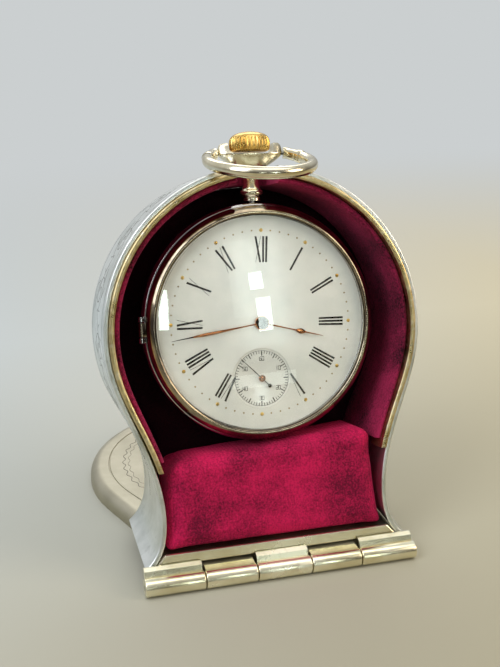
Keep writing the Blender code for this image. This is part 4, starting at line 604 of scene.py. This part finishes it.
scrollShape = {"start": 14.0, "end": 84.0, "pitch": 11.5, "middle": -12.6, "swing": 1.4, "curl": 3.6,
               "turns": 1.7, "stem": 4.2, "line": 0.17, "borders": (-4.6, -20.6), "borderFrom": 6,
               "borderTo": 86, "border": 0.1}
waveShape = {"pitch": 3.4, "step": 0.3, "lines": ((8.2, 0.34, 0.16), (9.4, 0.26, 0.1))}  # inset, height, width


def scrollPaths():
    s = scrollShape
    curl, line = s["curl"], s["line"]
    paths = []
    for n in range(int((s["end"] - s["start"]) / s["pitch"])):
        centre = s["start"] + s["pitch"] * (n + 0.5)
        up = 1 if n % 2 else -1
        middle = s["middle"] + up * s["swing"]

        def spot(a, r):
            return centre + r * cos(a), middle - up * r * sin(a)

        coil = [spot(fullTurn * s["turns"] * t, curl * (1 - t) ** 0.8 + 0.35) for t in evenly(43)]
        paths.append((coil, taper(line)))
        stem = [(centre + curl + (s["pitch"] - curl) * t - 0.2, middle - up * s["stem"] * sin(quarter * t))
                for t in evenly(12)]
        paths.append((stem, taper(line * 0.9)))
        for k in range(6):  # leaf strokes fan out of each curl
            a = radians(20 + 52 * k)
            leaf = [spot(a + 0.5 * t, curl * (1.02 + 0.55 * t)) for t in evenly(7)]
            paths.append((leaf, taper(line * 0.85, 0.1)))
    return paths


def buildEngraving():
    s = scrollShape
    reach = s["borderTo"] - s["borderFrom"]
    work = bmesh.new()
    for sign in (-1, 1):
        for path, width in scrollPaths():
            ribbon(work, [(sign * u, v) for u, v in path], width, wallSpot)
        for z in s["borders"]:
            line = [(sign * (s["borderFrom"] + along), z) for along in evenly(160, reach)]
            ribbon(work, line, lambda t: s["border"], wallSpot)
    addPiece("caseEngraving", work, "face", cutTarnish, "case")

    def lidSpot(x, y):
        return Vector((x, y, lidShape["top"])), Vector((0, 0, 1))

    # a wavy cartouche inside the groove of the lid, doubled
    work = bmesh.new()
    for inset, wave, width in waveShape["lines"]:
        points = [Vector(p) for p in mirrored(halfOutline(inset, lidShape["near"] + inset + 2))]
        path = []
        travelled = 0
        for a, b in zip(points, points[1:]):
            length = (b - a).length
            normal = Vector((-(b - a).y, (b - a).x)).normalized()
            for t in evenly(max(2, int(length / waveShape["step"])))[:-1]:
                swing = sin(fullTurn * (travelled + length * t) / waveShape["pitch"])
                path.append(a.lerp(b, t) + normal * wave * swing)
            travelled += length
        ribbon(work, path, lambda t, w=width: w, lidSpot)
    addPiece("lidEngraving", work, "lid", cutTarnish, "lid")


print("case shapes ready")


# Velvet linings

liningShape = {"outer": 1.35, "inner": 3.4, "step": 2.25, "stepBack": -7.35, "back": -22.9, "front": -2.7,
               "legFront": 5.6, "foot": 24.2, "ripple": 0.07}


def legEnd(z):
    s = liningShape
    backLeg = footHeight(s["back"], plateTop)
    return backLeg + (s["legFront"] - backLeg) * (z - s["back"]) / (s["front"] - s["back"])


def buildWallLining():
    s = liningShape
    inner, step, back = s["inner"], s["step"], s["back"]
    section = [(s["outer"], back), (s["outer"], s["stepBack"]), (step, s["stepBack"])]
    section += rounded([(step, -3.5), (2.42, -2.95), (2.85, s["front"]), (3.25, -2.95), (inner, -3.6)], 4)
    section += [(inner, z) for z in (-8.0, -13.0, -18.0, back)]
    lines = []
    for n, (inset, z) in enumerate(section):
        size = s["ripple"] if 4 <= n < len(section) - 1 else 0
        outline = mirrored(halfOutline(inset, footHeight(z), legEnd(z), steps=(110, 30, 12)))
        lines.append([(x, y, z + size * noise.noise(Vector((x * 0.35, y * 0.35, z * 0.2))))
                      for x, y in outline])
    work = bmesh.new()
    skin(work, list(zip(*lines)))
    work = cutAway(work, slotCutter())
    legs = bmesh.new()  # it ends above the cushion, which fills the neck from wall to wall
    box(legs, (-40, -10, -30), (40, s["foot"], 5))
    work = cutAway(work, legs)
    lining = addPiece("wallLining", work, "face", wallVelvet, "case", "wall_lining", 50)


def shrunk(edge, middle, share, z):
    return [(*(middle + (Vector(p) - middle) * share), z) for p in edge]


# Pads: crowned, with the edge drawn in. Rows are (share of the outline, level).
def addPad(name, where, body, node, half, height, rows):
    work = bmesh.new()
    skin(work, [shrunk(mirrored(half), Vector((0, height)), share, z) for share, z in rows])
    # the pads take the near-black lining velvet: painted shade
    pad = addPiece(name, work, where, liningVelvetPaintedShade, body, node, 60)


def buildLinings():
    s = liningShape
    buildWallLining()
    half = halfOutline(s["inner"] + seatGap, footHeight(s["back"]), footHeight(s["back"], plateTop))
    rows = [(1.0, -22.9), (1.0, -19.6), (0.985, -19.0), (0.95, -18.65), (0.88, -18.4), (0.76, -18.18),
            (0.6, -18.08), (0.4, -18.02), (0.2, -18.0)]
    addPad("backLining", "face", "case", "back_lining", half, caseShape["centre"], rows)
    # the lid's own pad, seen when the lid is lifted
    half = trimmed(halfOutline(2.5, lidShape["near"]), 6.6)
    rows = [(1.0, 0.8), (1.0, 0.2), (0.985, -0.15), (0.95, -0.42), (0.86, -0.72), (0.7, -0.92), (0.45, -1.05),
            (0.2, -1.1)]
    addPad("lidLining", "lid", "lid", "lid_lining", half, caseShape["centre"] - 2.5, rows)


cushionShape = {"half": 22.9, "upper": 21.9, "lower": 24.0, "top": 25.0, "slope": 0.075, "corner": 2.2,
                "trough": 25.3, "base": 5.45, "back": -17.7, "front": -2.9, "voxel": 0.75, "simScale": 20,
                "shrink": 0.1, "cap": 0.4, "pressure": 4, "frames": 20, "swell": 0.16,
                "fold": {"x": 14.0, "y": 23.2, "deep": 0.55, "wide": 0.6, "long": 6}}


def cushionHalf(y):
    # follows the neck of the case: narrower at the top, wider over the sill
    s = cushionShape
    if y > 12:
        return s["half"] + (s["upper"] - s["half"]) * min(1, (y - 12) / 10)
    return s["half"] + (s["lower"] - s["half"]) * min(1, (12 - y) / 6.5) ** 1.6


def cushionOutline(less):
    # flat base on the sill, upright sides, and a top that rises to the right under the watch
    s = cushionShape
    half, low, soft = s["upper"] - less, s["base"] + less, s["corner"]
    foot = cushionHalf(low) - less

    def top(x):
        under = watchHeight - sqrt((s["trough"] + less) ** 2 - x * x)
        return min(s["top"] + s["slope"] * x - less, under)

    points = [(x, low) for x in evenly(12, foot)]
    for sign, start in ((1, 0), (-1, quarter)):
        corner = (sign * (half - soft), top(sign * half) - soft)
        side = [low + rise for rise in evenly(12, corner[1] - low)[1:-1]]
        side = [(sign * (cushionHalf(y) - less), y) for y in side]
        arc = [start + turn for turn in evenly(8, quarter)]
        arc = [(corner[0] + soft * cos(a), corner[1] + soft * sin(a)) for a in arc]
        if sign > 0:
            points += side + arc
            points += [(x, top(x)) for x in [(half - soft) * (1 - i / 15) for i in range(1, 30)]]
        else:
            points += arc + list(reversed(side))
    return points + [(-foot * (1 - t), low) for t in evenly(12)[:-1]]


def swellCushion(work):
    # the cover is blown up a little by its stuffing, simulated at twenty times its size
    s = cushionShape
    unit = s["simScale"] * mm
    bmesh.ops.recalc_face_normals(work, faces=work.faces)
    bmesh.ops.scale(work, vec=Vector((1, 1, 1)) * s["simScale"] * mm, verts=work.verts)
    sim = link("cushionSim", toMesh("neckCushion", work))
    remesh = sim.modifiers.new("remesh", "REMESH")
    remesh.mode = "VOXEL"
    remesh.voxel_size = s["voxel"] * unit
    bpy.context.view_layer.update()
    base = evaluated(sim)
    sim.modifiers.clear()
    sim.data = base
    rest = [v.co / unit for v in base.vertices]
    swollen = rest
    cloth = sim.modifiers.new("cloth", "CLOTH")
    cloth.settings.use_pressure = True
    cloth.settings.uniform_pressure_force = s["pressure"]
    cloth.settings.effector_weights.gravity = 0
    for n in range(s["frames"]):
        bpy.context.scene.frame_set(n + 1)
    swollen = [v.co / unit for v in evaluated(sim).vertices]
    bpy.context.scene.frame_set(1)
    bpy.data.objects.remove(sim, do_unlink=True)
    return base, rest, swollen


def buildCushion():
    s = cushionShape
    back, front = s["back"], s["front"]
    edge = cushionOutline(s["shrink"])
    middle = Vector((0, (s["base"] + s["top"]) / 2))
    rows = [(0.97, back + 0.4), (0.995, back + 1.2), (1, -10.5), (1, front - 1.5), (0.99, front - 0.75),
            (0.97, front - 0.3), (0.9, front - 0.08), (0.6, front)]
    work = bmesh.new()
    rings = [shrunk(edge, middle, share, z) for share, z in rows]
    skin(work, [[(x, max(y, footHeight(z, plateTop) + 0.1), z) for x, y, z in ring] for ring in rings])
    base, rest, swollen = swellCushion(work)
    fold = s["fold"]
    for vertex, before, after in zip(base.vertices, rest, swollen):
        move = after - before
        if move.length > s["cap"]:
            move = move.normalized() * s["cap"]
        p = before + move
        # sewn in tight at its upper right corner, where a fold runs in
        away = Vector((p.x - fold["x"], p.y - fold["y"]))
        across, along = away.dot(Vector((0.5, 0.87))), abs(away.dot(Vector((0.87, -0.5))))
        if p.z > -8 and along < fold["long"]:
            p.z -= fold["deep"] * exp(-(across / fold["wide"]) ** 2) * (1 - along / fold["long"])
        # the front swells between its sides and sags a little low down
        p.z += s["swell"] * noise.noise(Vector((p.x * 0.16, p.y * 0.22, 3.1)))
        # stays clear of the watch, the linings, the sill and the foot plate
        out = Vector((p.x, p.y - watchHeight))
        if out.length < s["trough"]:
            out = out.normalized() * s["trough"]
            p.x, p.y = out.x, out.y + watchHeight
        reach = cushionHalf(p.y) + 0.1
        p.x = max(-reach, min(reach, p.x))
        p.z = max(back + 0.1, min(front + 0.6, p.z))
        p.y = max(p.y, footHeight(p.z, plateTop), s["base"] if p.z > -7 else 0)
        vertex.co = p
    work = bmesh.new()
    work.from_mesh(base)
    bmesh.ops.smooth_vert(work, verts=work.verts, factor=0.3, use_axis_x=True, use_axis_y=True, use_axis_z=True)
    cushion = addPiece("neckCushion", work, "face", cushionVelvet, "case", "neck_cushion", 80)
    divide = cushion.modifiers.new("divide", "SUBSURF")
    divide.levels = 1
    divide.render_levels = 1


# Watch case, turned on the lathe

watchShape = {"radius": 25.0, "inner": 22.6, "half": 3.2, "bezelLow": 3.5, "bezelHigh": 5.6, "bezel": 24.3,
              "bore": 22.3, "crystal": 22.0, "crystalEdge": 5.3, "crystalTop": 7.2, "glass": 0.8, "lug": 0.55,
              "hinge": 25.1, "hingeLevel": 3.6, "lugHalf": 1.4, "lugLength": 1.1, "lugGap": 0.2, "edge": 0.968,
              "backDepth": 3.4, "backPlate": 0.6}


def addLug(work, low, high, webTo, webLow, webHigh):
    # a round lug along the watch's own up direction, on a web that ties it to its ring
    w = watchShape
    hinge = (-w["hinge"], w["hingeLevel"])
    rows = ((low, 0.08), (low + 0.08, 0), (high - 0.08, 0), (high, 0.08))
    skin(work, [[(x, y, z) for x, z in circle(w["lug"] - less, 28, hinge)] for y, less in rows])
    box(work, (hinge[0] - 0.2, low + 0.02, webLow), (webTo, high - 0.02, webHigh), 0.06)


def buildWatchCase():
    w = watchShape
    half, edge, bore = w["half"], w["edge"], w["bore"]
    work = bmesh.new()
    belly = [(w["radius"] * (edge + (1 - edge) * cos(t) ** 0.7), half * sin(t))
             for t in [quarter * 0.96 * (i / 10 - 1) for i in range(21)]]
    turned(work, [(w["inner"], -half)] + belly + [(w["inner"], half)], 160, True)
    first = w["lugHalf"] + w["lugGap"]
    addLug(work, first, first + w["lugLength"], -24.0, 1.8, 3.1)
    addLug(work, -first - w["lugLength"], -first, -24.0, 1.8, 3.1)
    addPiece("watchBand", work, "watch", burnishedSilver, "watch", "watch_band")

    work = bmesh.new()
    low, high, outer = w["bezelLow"], w["bezelHigh"], w["bezel"]
    profile = rounded([(outer - 0.1, low), (outer, low + 0.4), (outer - 0.1, low + 0.95),
                       (outer - 0.45, low + 1.45), (outer - 0.95, low + 1.86), (outer - 1.4, high),
                       (outer - 1.75, high - 0.08), (bore + 0.05, high - 0.32), (bore, high - 0.5)], 5)
    turned(work, profile + [(bore, low)], 180, True)
    addLug(work, -w["lugHalf"], w["lugHalf"], -23.6, 3.62, 4.1)
    # the bezel takes the darkened silver: painted dark reflection of the velvet
    addPiece("bezelRing", work, "watch", bezelSilverDarkReflection, "bezel", "bezel")

    work = bmesh.new()
    dome = w["crystalTop"] - w["crystalEdge"]
    top = [(w["crystal"] * t, w["crystalEdge"] + dome * (1 - t * t)) for t in evenly(16)]
    turned(work, top + [(r, level - w["glass"]) for r, level in reversed(top)], 128)
    addPiece("crystalDome", work, "watch", crystalGlass, "bezel", "crystal", 50)

    def bowl(radius, depth):
        return [(radius * t, -half - seatGap - depth * (1 - t ** 3.2)) for t in evenly(12)]

    work = bmesh.new()
    inside = bowl(w["inner"], w["backDepth"] - w["backPlate"])
    turned(work, bowl(w["radius"] * edge, w["backDepth"]) + inside[::-1], 128)
    addPiece("backCover", work, "watch", burnishedSilver, "watch", "back_cover")


# The stalk is (radius, height); the head is (half width, height, half depth)
pendantShape = {"stalk": [(1.9, 25.3), (1.9, 25.9), (2.05, 26.2), (2.34, 26.5), (2.42, 26.9), (2.34, 27.3),
                          (2.05, 27.6), (1.8, 27.95), (1.7, 29.0), (1.76, 30.3), (1.95, 31.4), (2.2, 32.4)],
                "head": [(2.1, 31.8, 1.35), (3.2, 32.25, 1.55), (4.6, 33.0, 1.8), (5.9, 33.9, 2.05),
                         (6.6, 34.5, 2.2), (6.86, 34.95, 2.28), (6.9, 35.35, 2.1), (6.86, 36.1, 1.75),
                         (6.6, 36.8, 1.5), (6.2, 37.2, 1.25)],
                "well": [(4.1, 35.0), (4.65, 35.25), (5.0, 35.8), (5.0, 39)]}


def buildPendant():
    p = pendantShape
    work = bmesh.new()
    turned(work, [(0, 25.3)] + rounded(p["stalk"], 4) + [(0, 32.4)], 64)
    # a shallow bowl under the crown, which goes on into two rounded ears
    head = bmesh.new()
    skin(head, [[(copysign(abs(x) ** 0.8, x) * half, y, copysign(abs(z) ** 0.85, z) * deep)
                 for x, z in circle(1, 72)] for half, y, deep in rounded(p["head"], 4)])
    well = bmesh.new()  # the crown turns in a round well between the ears
    skin(well, [[(x, y, z) for x, z in circle(r, 72)] for r, y in p["well"]])
    merge(work, cutAway(head, well), spin(quarter, "X"))
    # the pendant head takes the warm-tinted silver: painted warm reflection
    addPiece("pendantHead", work, "upright", bowSilverWarmReflection, "watch", "pendant", 40)


crownShape = {"low": 35.4, "height": 4.2, "radius": 4.3, "flutes": 32, "flute": 0.06,
              "side": [(0.8, 0.0), (0.93, 0.06), (0.985, 0.18), (1.0, 0.38), (0.985, 0.54), (0.92, 0.7),
                       (0.8, 0.82), (0.6, 0.91), (0.35, 0.97), (0.05, 1.0)]}


def buildCrown():
    c = crownShape
    side = [(0, 0)] + rounded(c["side"], 6) + [(0, 1)]
    profile = [(c["radius"] * w, c["low"] + c["height"] * h) for w, h in side]

    def flute(a, level):
        h = (level - c["low"]) / c["height"]
        dip = 0.5 - 0.5 * cos(c["flutes"] * a)
        fade = min(1, max(0, (0.62 + 0.12 * dip - h) / 0.08)) * min(1, h / 0.1)
        return 1 - c["flute"] * fade * dip

    work = bmesh.new()
    turned(work, profile, c["flutes"] * 10, wave=flute)
    addPiece("windingCrown", work, "upright", yellowGold, "crown", "crown", 60)


bowShape = {"radius": 10.5, "offset": 7.9, "wire": 1.25, "end": 7.2, "start": 56.97}


def buildBow():
    b = bowShape
    start = radians(b["start"])
    turns = [start + turn for turn in evenly(84, fullTurn - 2 * start)]
    arc = [(b["radius"] * sin(a), b["offset"] - b["radius"] * cos(a)) for a in turns]
    lead = Vector(arc[0]) - Vector((cos(start), sin(start)))
    end = [(b["end"], 0)] + bezier((b["end"], 0), (b["end"] + 1.1, 0), lead, arc[0], 8)[:-1]
    work = bmesh.new()
    path = atLevel(end + arc + [(-x, y) for x, y in reversed(end)], 0)
    tube(work, path, lambda t: b["wire"] * (0.94 + 0.06 * sin(pi * t)), 28)
    for sign in (-1, 1):  # turned collars next to the ears
        collar = [(sign * x, y, 0) for x, y in arc[2:6]]
        tube(work, collar, lambda t: b["wire"] * (1.02 + 0.1 * sin(pi * t)), 28)
    addPiece("bowRing", work, "bow", bowSilverWarmReflection, "bow", "bow", 50)


# Dial and hands

dialShape = {"radius": 22.2, "hole": 1.35, "face": 3.6, "thick": 0.4, "dots": 19.1, "low": 12.5, "high": 17.85,
             "bar": 0.41, "hair": 0.08, "pitch": 0.67, "letter": 1.3, "paint": 0.03, "seconds": 11.6,
             "secondsRadius": 6.3, "secondsTrack": 5.75, "secondsFigures": 4.15, "sunk": 0.14,
             "hourDot": 0.38, "minuteDot": 0.19}
numerals = ("XII", "I", "II", "III", "IIII", "V", "", "VII", "VIII", "IX", "X", "XI")
secondsCentre = (0, -dialShape["seconds"])


def numeralStrokes(text):
    # each letter's strokes as (foot x, head x, thickness), in millimetres, then the letter's width
    d = dialShape
    bar, hair, wide = d["bar"], d["hair"], d["letter"]
    forms = {"I": ([(0.5 * bar, 0.5 * bar, bar)], bar),
             "V": ([(wide / 2, bar / 2, bar), (wide / 2 + 0.08, wide - hair, hair)], wide),
             "X": ([(wide - bar / 2, bar / 2, bar), (hair, wide - hair, hair)], wide)}
    gap = d["pitch"] - bar
    strokes, x = [], 0
    for letter in text:
        lines, width = forms[letter]
        strokes += [(a + x, b + x, t) for a, b, t in lines]
        x += width + gap
    middle = (x - gap) / 2
    return [(a - middle, b - middle, t) for a, b, t in strokes]


def onDial(angle, across, out, centre=(0, 0)):
    # clockwise from twelve, in degrees; across is clockwise, out is from the centre
    a = radians(angle)
    return (out * sin(a) + across * cos(a) + centre[0], out * cos(a) - across * sin(a) + centre[1])


figures = {"0": [[(0, 0), (0, 1), (1, 1), (1, 0), (0, 0)]], "1": [[(0.5, 0), (0.5, 1)]],
           "2": [[(0, 1), (1, 1), (1, 0.5), (0, 0.4), (0, 0), (1, 0)]],
           "3": [[(0, 1), (1, 1), (1, 0), (0, 0)], [(0.3, 0.5), (1, 0.5)]],
           "4": [[(0, 1), (0, 0.4), (1, 0.4)], [(0.8, 1), (0.8, 0)]],
           "5": [[(1, 1), (0, 1), (0, 0.55), (1, 0.5), (1, 0), (0, 0)]],
           "6": [[(1, 1), (0, 0.8), (0, 0), (1, 0), (1, 0.5), (0, 0.5)]]}


def buildPlate(floor):
    d = dialShape
    curve = bpy.data.curves.new("dialPlate", "CURVE")
    curve.dimensions = "2D"
    curve.fill_mode = "BOTH"
    curve.extrude = d["thick"] / 2
    rims = (((0, 0), d["radius"], 160), ((0, 0), d["hole"], 32), (secondsCentre, d["secondsRadius"], 96))
    for centre, r, steps in rims:
        spline = curve.splines.new("POLY")
        spline.points.add(steps - 1)
        for point, (x, y) in zip(spline.points, circle(r, steps, centre)):
            point.co = (x, y, 0, 1)
        spline.use_cyclic_u = True
    source = link("dialPlate", curve)
    bpy.context.view_layer.update()
    mesh = evaluated(source)
    bpy.data.objects.remove(source, do_unlink=True)
    mesh.transform(Matrix.Translation((0, 0, d["face"] - d["thick"] / 2)))
    work = bmesh.new()
    work.from_mesh(mesh)
    bpy.data.meshes.remove(mesh)
    bmesh.ops.remove_doubles(work, verts=work.verts, dist=0.002)
    # sunk seconds dial: its own disc with a rounded edge, soldered in from behind
    r = d["secondsRadius"]
    profile = [(0.45, floor - 0.24), (r - 0.02, floor - 0.24), (r - 0.02, floor + 0.1), (r - 0.14, floor + 0.05),
               (r - 0.32, floor), (0.45, floor)]
    turned(work, profile, 96, True, secondsCentre)
    addPiece("dialEnamel", work, "dial", firedEnamel, "watch", "dial", 30)


def paintSeconds(paint, base, top):
    # a track with a stroke for each second, and small upright figures: 60 at the top, then 10 to 50
    d = dialShape
    track = d["secondsTrack"]
    for second in range(60):
        half, tall = (0.055, 0.6) if second % 5 else (0.09, 1.0)
        corners = [(-half, track - tall), (half, track - tall), (half, track), (-half, track)]
        prism(paint, [onDial(second * 6, x, y, secondsCentre) for x, y in corners], base, top)
    rim = track + 0.06
    turned(paint, [(track, base), (rim, base), (rim, top), (track, top)], 96, True, secondsCentre)
    for second in range(0, 60, 10):
        for n, figure in enumerate(str(second or 60)):
            x, y = onDial(second * 6, 0, d["secondsFigures"], secondsCentre)
            for line in figures[figure]:
                spots = [Vector((x + (n - 0.5) * 0.56 + u * 0.42 - 0.21, y + v * 0.8 - 0.4)) for u, v in line]
                for a, b in zip(spots, spots[1:]):
                    ahead = (b - a).normalized() * 0.045
                    across = Vector((-ahead.y, ahead.x))
                    corners = [a - ahead - across, b + ahead - across, b + ahead + across, a - ahead + across]
                    prism(paint, corners, base, top)


def buildDial():
    d = dialShape
    floor = d["face"] - d["sunk"]
    buildPlate(floor)
    paint, minutes, hours = bmesh.new(), bmesh.new(), bmesh.new()
    low, high = d["face"] - 0.02, d["face"] + d["paint"]
    for hour, text in enumerate(numerals):
        for foot, head, thick in numeralStrokes(text):
            # the letters widen outwards
            inner = [((foot + side * thick / 2) * 0.94, d["low"]) for side in (-1, 1)]
            outer = [((head + side * thick / 2) * 1.06, d["high"]) for side in (1, -1)]
            prism(paint, [onDial(hour * 30, x, y) for x, y in inner + outer], low, high)
    paintSeconds(paint, floor - 0.02, floor + d["paint"])
    addPiece("dialPaint", paint, "dial", enamelBlack, "watch")
    for minute in range(60):
        spot = onDial(minute * 6, 0, d["dots"])
        r = d["minuteDot"]
        if minute % 5:
            turned(minutes, [(0, low), (r, low), (r, high), (0, high)], 12, centre=spot)
        else:
            r = d["hourDot"]
            dome = [(r * 0.8, high + 0.1), (r * 0.45, high + 0.16), (0, high + 0.18)]
            turned(hours, [(0, low), (r, low), (r, high)] + dome, 20, centre=spot)
    addPiece("minuteDots", minutes, "dial", brownGold, "watch")
    addPiece("hourDots", hours, "dial", yellowGold, "watch")


handShape = {"thick": 0.14,
             "hour": {"level": 4.05, "length": 13.6, "angle": 102.8, "eye": 1.035, "hole": 1.22, "rim": 1.5},
             "minute": {"level": 4.36, "length": 19.4, "angle": 260.2},
             "seconds": {"level": 3.78, "length": 6.3, "angle": 313, "ball": 0.4, "tail": 2.3, "boss": 0.72}}


def blade(work, hand, stations, centre=(0, 0), lift=0):
    # a hand's blade, filed to a ridge: stations are (distance from the centre, half width)
    thick = handShape["thick"]
    rings = []
    for out, half in stations:
        section = ((-half, 0), (half, 0), (half, thick * 0.55), (0, thick), (-half, thick * 0.55))
        rings.append([(*onDial(hand["angle"], x, out, centre), hand["level"] + lift + z) for x, z in section])
    skin(work, rings)


def addHandPiece(name, work, material, body, node=None):
    addPiece(name, work, "dial", material, body, node, 25)


def buildHands():
    hand = handShape["hour"]
    low, high, hole = hand["level"], hand["level"] + handShape["thick"], hand["hole"]
    work = bmesh.new()
    leaf = rounded([(7.5, 0.13), (7.8, 0.32), (8.56, 0.58), (9.25, 0.4), (9.7, 0.15)], 5)
    blade(work, hand, [(hand["eye"], 0.17), (5.0, 0.13)] + leaf + [(12, 0.1), (hand["length"], 0.04)])
    turned(work, [(hole, low), (hand["rim"], low), (hand["rim"], high), (hole, high)], 48, True)
    addHandPiece("hourHand", work, roseGold, "hour_wheel", "hour_hand")

    hand = handShape["minute"]
    work = bmesh.new()
    swell = [(0.9, 0.15), (3.5, 0.12), (6.5, 0.18), (9.5, 0.28), (12.2, 0.33), (14.0, 0.24), (15.0, 0.17)]
    blade(work, hand, rounded(swell, 3))
    addHandPiece("minuteHand", work, roseGold, "centre_wheel", "minute_hand")
    work = bmesh.new()  # its tip and boss are left dark
    blade(work, hand, [(14.9, 0.17), (16.0, 0.12), (17.5, 0.08), (hand["length"], 0.03)], lift=0.01)
    boss = [(0, 0), (1.32, 0), (1.32, 0.1), (1.12, 0.15), (1.0, 0.13), (0.8, 0.28), (0.4, 0.36), (0, 0.38)]
    turned(work, [(r, hand["level"] + z) for r, z in boss], 48)
    addHandPiece("minuteBoss", work, darkHand, "centre_wheel")

    hand = handShape["seconds"]
    level, high, tail, r = hand["level"], hand["level"] + handShape["thick"], hand["tail"], hand["ball"]
    work = bmesh.new()
    blade(work, hand, [(-tail + 0.3, 0.09), (-0.5, 0.1), (0.5, 0.09), (hand["length"], 0.04)], secondsCentre)
    ball = onDial(hand["angle"], 0, -tail, secondsCentre)
    turned(work, [(0, level), (r, level), (r, level + 0.06), (r * 0.75, high), (0, high)], 32, centre=ball)
    addHandPiece("secondsHand", work, darkHand, "fourth_wheel", "seconds_hand")
    work = bmesh.new()
    r = hand["boss"]
    profile = [(0, level + 0.02), (r, level + 0.02), (r, level + 0.12), (r * 0.7, level + 0.19),
               (0, level + 0.21)]
    turned(work, profile, 36, centre=secondsCentre)
    addHandPiece("secondsBoss", work, roseGold, "fourth_wheel")


buildCase()
buildLips()
buildHinge()
buildLid()
buildEngraving()
print("case, hinge and lid built")
buildLinings()
buildCushion()
print("velvet built")
buildWatchCase()
buildPendant()
buildCrown()
buildBow()
print("watch case built")
buildDial()
buildHands()
print("dial and hands built")


# The movement and the small carried pieces keep their exact shapes and take their real metals.

keptFinishes = {
    warmSilver: ("front_sill",),
    sterlingSilver: ("foot_plate", "dust_cover"),
    carbonSteel: ("hinge_pin", "bow_pin_left", "bow_pin_right", "bezel_hinge_pin", "winding_stem",
                  "winding_pinion", "castle_wheel", "crown_wheel", "ratchet_wheel", "click",
                  "barrel_arbor", "pallet_fork", "cannon_pinion"),
    nickelSilver: ("main_plate", "barrel_bridge", "train_bridge", "balance_cock", "pallet_bridge"),
    rolledBrass: ("mainspring_barrel", "barrel_cover", "centre_wheel", "third_wheel", "fourth_wheel",
                  "hour_wheel", "minute_wheel", "escape_wheel", "balance_wheel"),
    bluedSteel: ("mainspring", "hairspring", "barrel_bridge_screw", "train_bridge_screw", "balance_cock_screw"),
}
for metalFinish, keptNames in keptFinishes.items():
    for keptName in keptNames:
        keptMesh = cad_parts[keptName].data
        keptMesh.materials.clear()
        keptMesh.materials.append(metalFinish)
print("movement dressed")


# Stage: a pale table that runs off into a pale room, soft lamps, and window panes that the crystal mirrors

# the table's front and back tones carry painted light and shade, cool and bluish on the left and warm on the
# right
stageShape = {"size": 30000, "near": 3000, "front": ("#a8a28c", "#897f5f"), "back": ("#b6c1c9", "#c8bd9c"),
              "far": "#cbcfd0"}
roomShape = {"tones": ("#37322f", "#f2f5f8", "#8f8d8b"), "stops": (0.12, 0.85, 0.42), "level": 0.36,
             "shares": {"Z": 0.62, "Y": 0.28, "X": -0.12}, "strength": 0.8}


def makeStage():
    s = stageShape
    material, tree, shader, spot = startMaterial("pale table with painted light", {"Roughness": 0.85, "Specular IOR Level": 0.1})
    axes = addNode(tree, "SeparateXYZ", {}, {0: spot}).outputs
    # painted light and shade: cool, bluish shade to the left of the object, warm light to its right, and darker
    # towards the front
    side = addRange(tree, axes["X"], -0.12, 0.16)
    front, back = [addTones(tree, side, s[row]) for row in ("front", "back")]
    cloth = addMix(tree, addRange(tree, axes["Y"], -0.14, 0.12), front, back)
    tree.links.new(cloth, shader.inputs["Base Color"])
    # far off the table turns into the pale room, for what the camera, metal and glass see
    rays = addNode(tree, "LightPath").outputs
    seen = rays["Is Camera Ray"]
    for kind in ("Is Glossy Ray", "Is Transmission Ray"):
        seen = addMath(tree, "MAXIMUM", seen, rays[kind])
    away = addRange(tree, axes["Y"], 0.02, 0.5, kind="SMOOTHSTEP")
    room = addNode(tree, "Emission", {}, {"Color": hexColour(s["far"]), "Strength": 1.0})
    addShaderMix(tree, addMath(tree, "MULTIPLY", seen, away), shader, room)
    size, near = s["size"] * mm, -s["near"] * mm
    work = bmesh.new()
    corners = ((-size, near, 0), (size, near, 0), (size, size, 0), (-size, size, 0))
    work.faces.new([work.verts.new(p) for p in corners])
    mesh = toMesh("table", work)
    mesh.materials.append(material)
    link("table", mesh)


def makeRoom():
    # a room that is bright above and behind, and darker on the side one looks from
    world = bpy.data.worlds.new("room")
    bpy.context.scene.world = world
    world.use_nodes = True
    tree = world.node_tree
    axes = addNode(tree, "SeparateXYZ", {}, {0: addNode(tree, "TexCoord").outputs["Generated"]}).outputs
    light = roomShape["level"]
    for axis, share in roomShape["shares"].items():
        light = addMath(tree, "MULTIPLY_ADD", axes[axis], share, light)
    sky = tree.nodes["Background"]
    tree.links.new(addTones(tree, light, roomShape["tones"], roomShape["stops"]), sky.inputs["Color"])
    sky.inputs["Strength"].default_value = roomShape["strength"]


# Place, aim and size in millimetres, watts, tone. The panes are small lamps far off, where the crystal
# mirrors the room's windows, too weak to light the object.
lamps = {
    "window": ((-420, -260, 420), (0, 0, 40), (300, 420), 1.7, "#f1f6ff"),
    "fill": ((420, -260, 260), (0, 0, 40), (260, 260), 1.1, "#fff0da"),
    "back": ((60, 420, 420), (0, 0, 50), (420, 240), 0.7, "#ffffff"),
    "top": ((0, -120, 620), (0, -30, 30), (800, 240), 1.0, "#fffaf0"),
    "paneUpper": ((144, -571, 251), (-1.5, -22.7, 58.6), (37, 45), 0.05, "#f0fffa"),
    "paneLower": ((162, -590, 163), (-0.1, -24.6, 52), (39, 89), 0.1, "#f0fffa"),
    "paneHaze": ((110, -568, 257), (-4.1, -22.2, 59.1), (77, 203), 0.02, "#f0fffa"),
    "paneLeft": ((-105, -597, 194), (-20.5, -22.4, 53.7), (20, 106), 0.07, "#f0fffa"),
    "paneLow": ((61, -265, 18), (-0.8, -27.2, 38.8), (83, 16), 0.005, "#f0fffa"),
}


def addLamps():
    for name, (place, aim, size, watts, tone) in lamps.items():
        data = bpy.data.lights.new(name, "AREA")
        data.shape = "RECTANGLE"
        data.size, data.size_y = [v * mm for v in size]
        data.energy = watts
        data.color = hexColour(tone)[:3]
        light = link(name, data)
        light.location = Vector(place) * mm
        light.rotation_euler = (Vector(aim) * mm - light.location).to_track_quat("-Z", "Y").to_euler()


makeStage()
makeRoom()
addLamps()
bpy.context.scene.view_settings.view_transform = "Standard"
print("stage and lamps set")
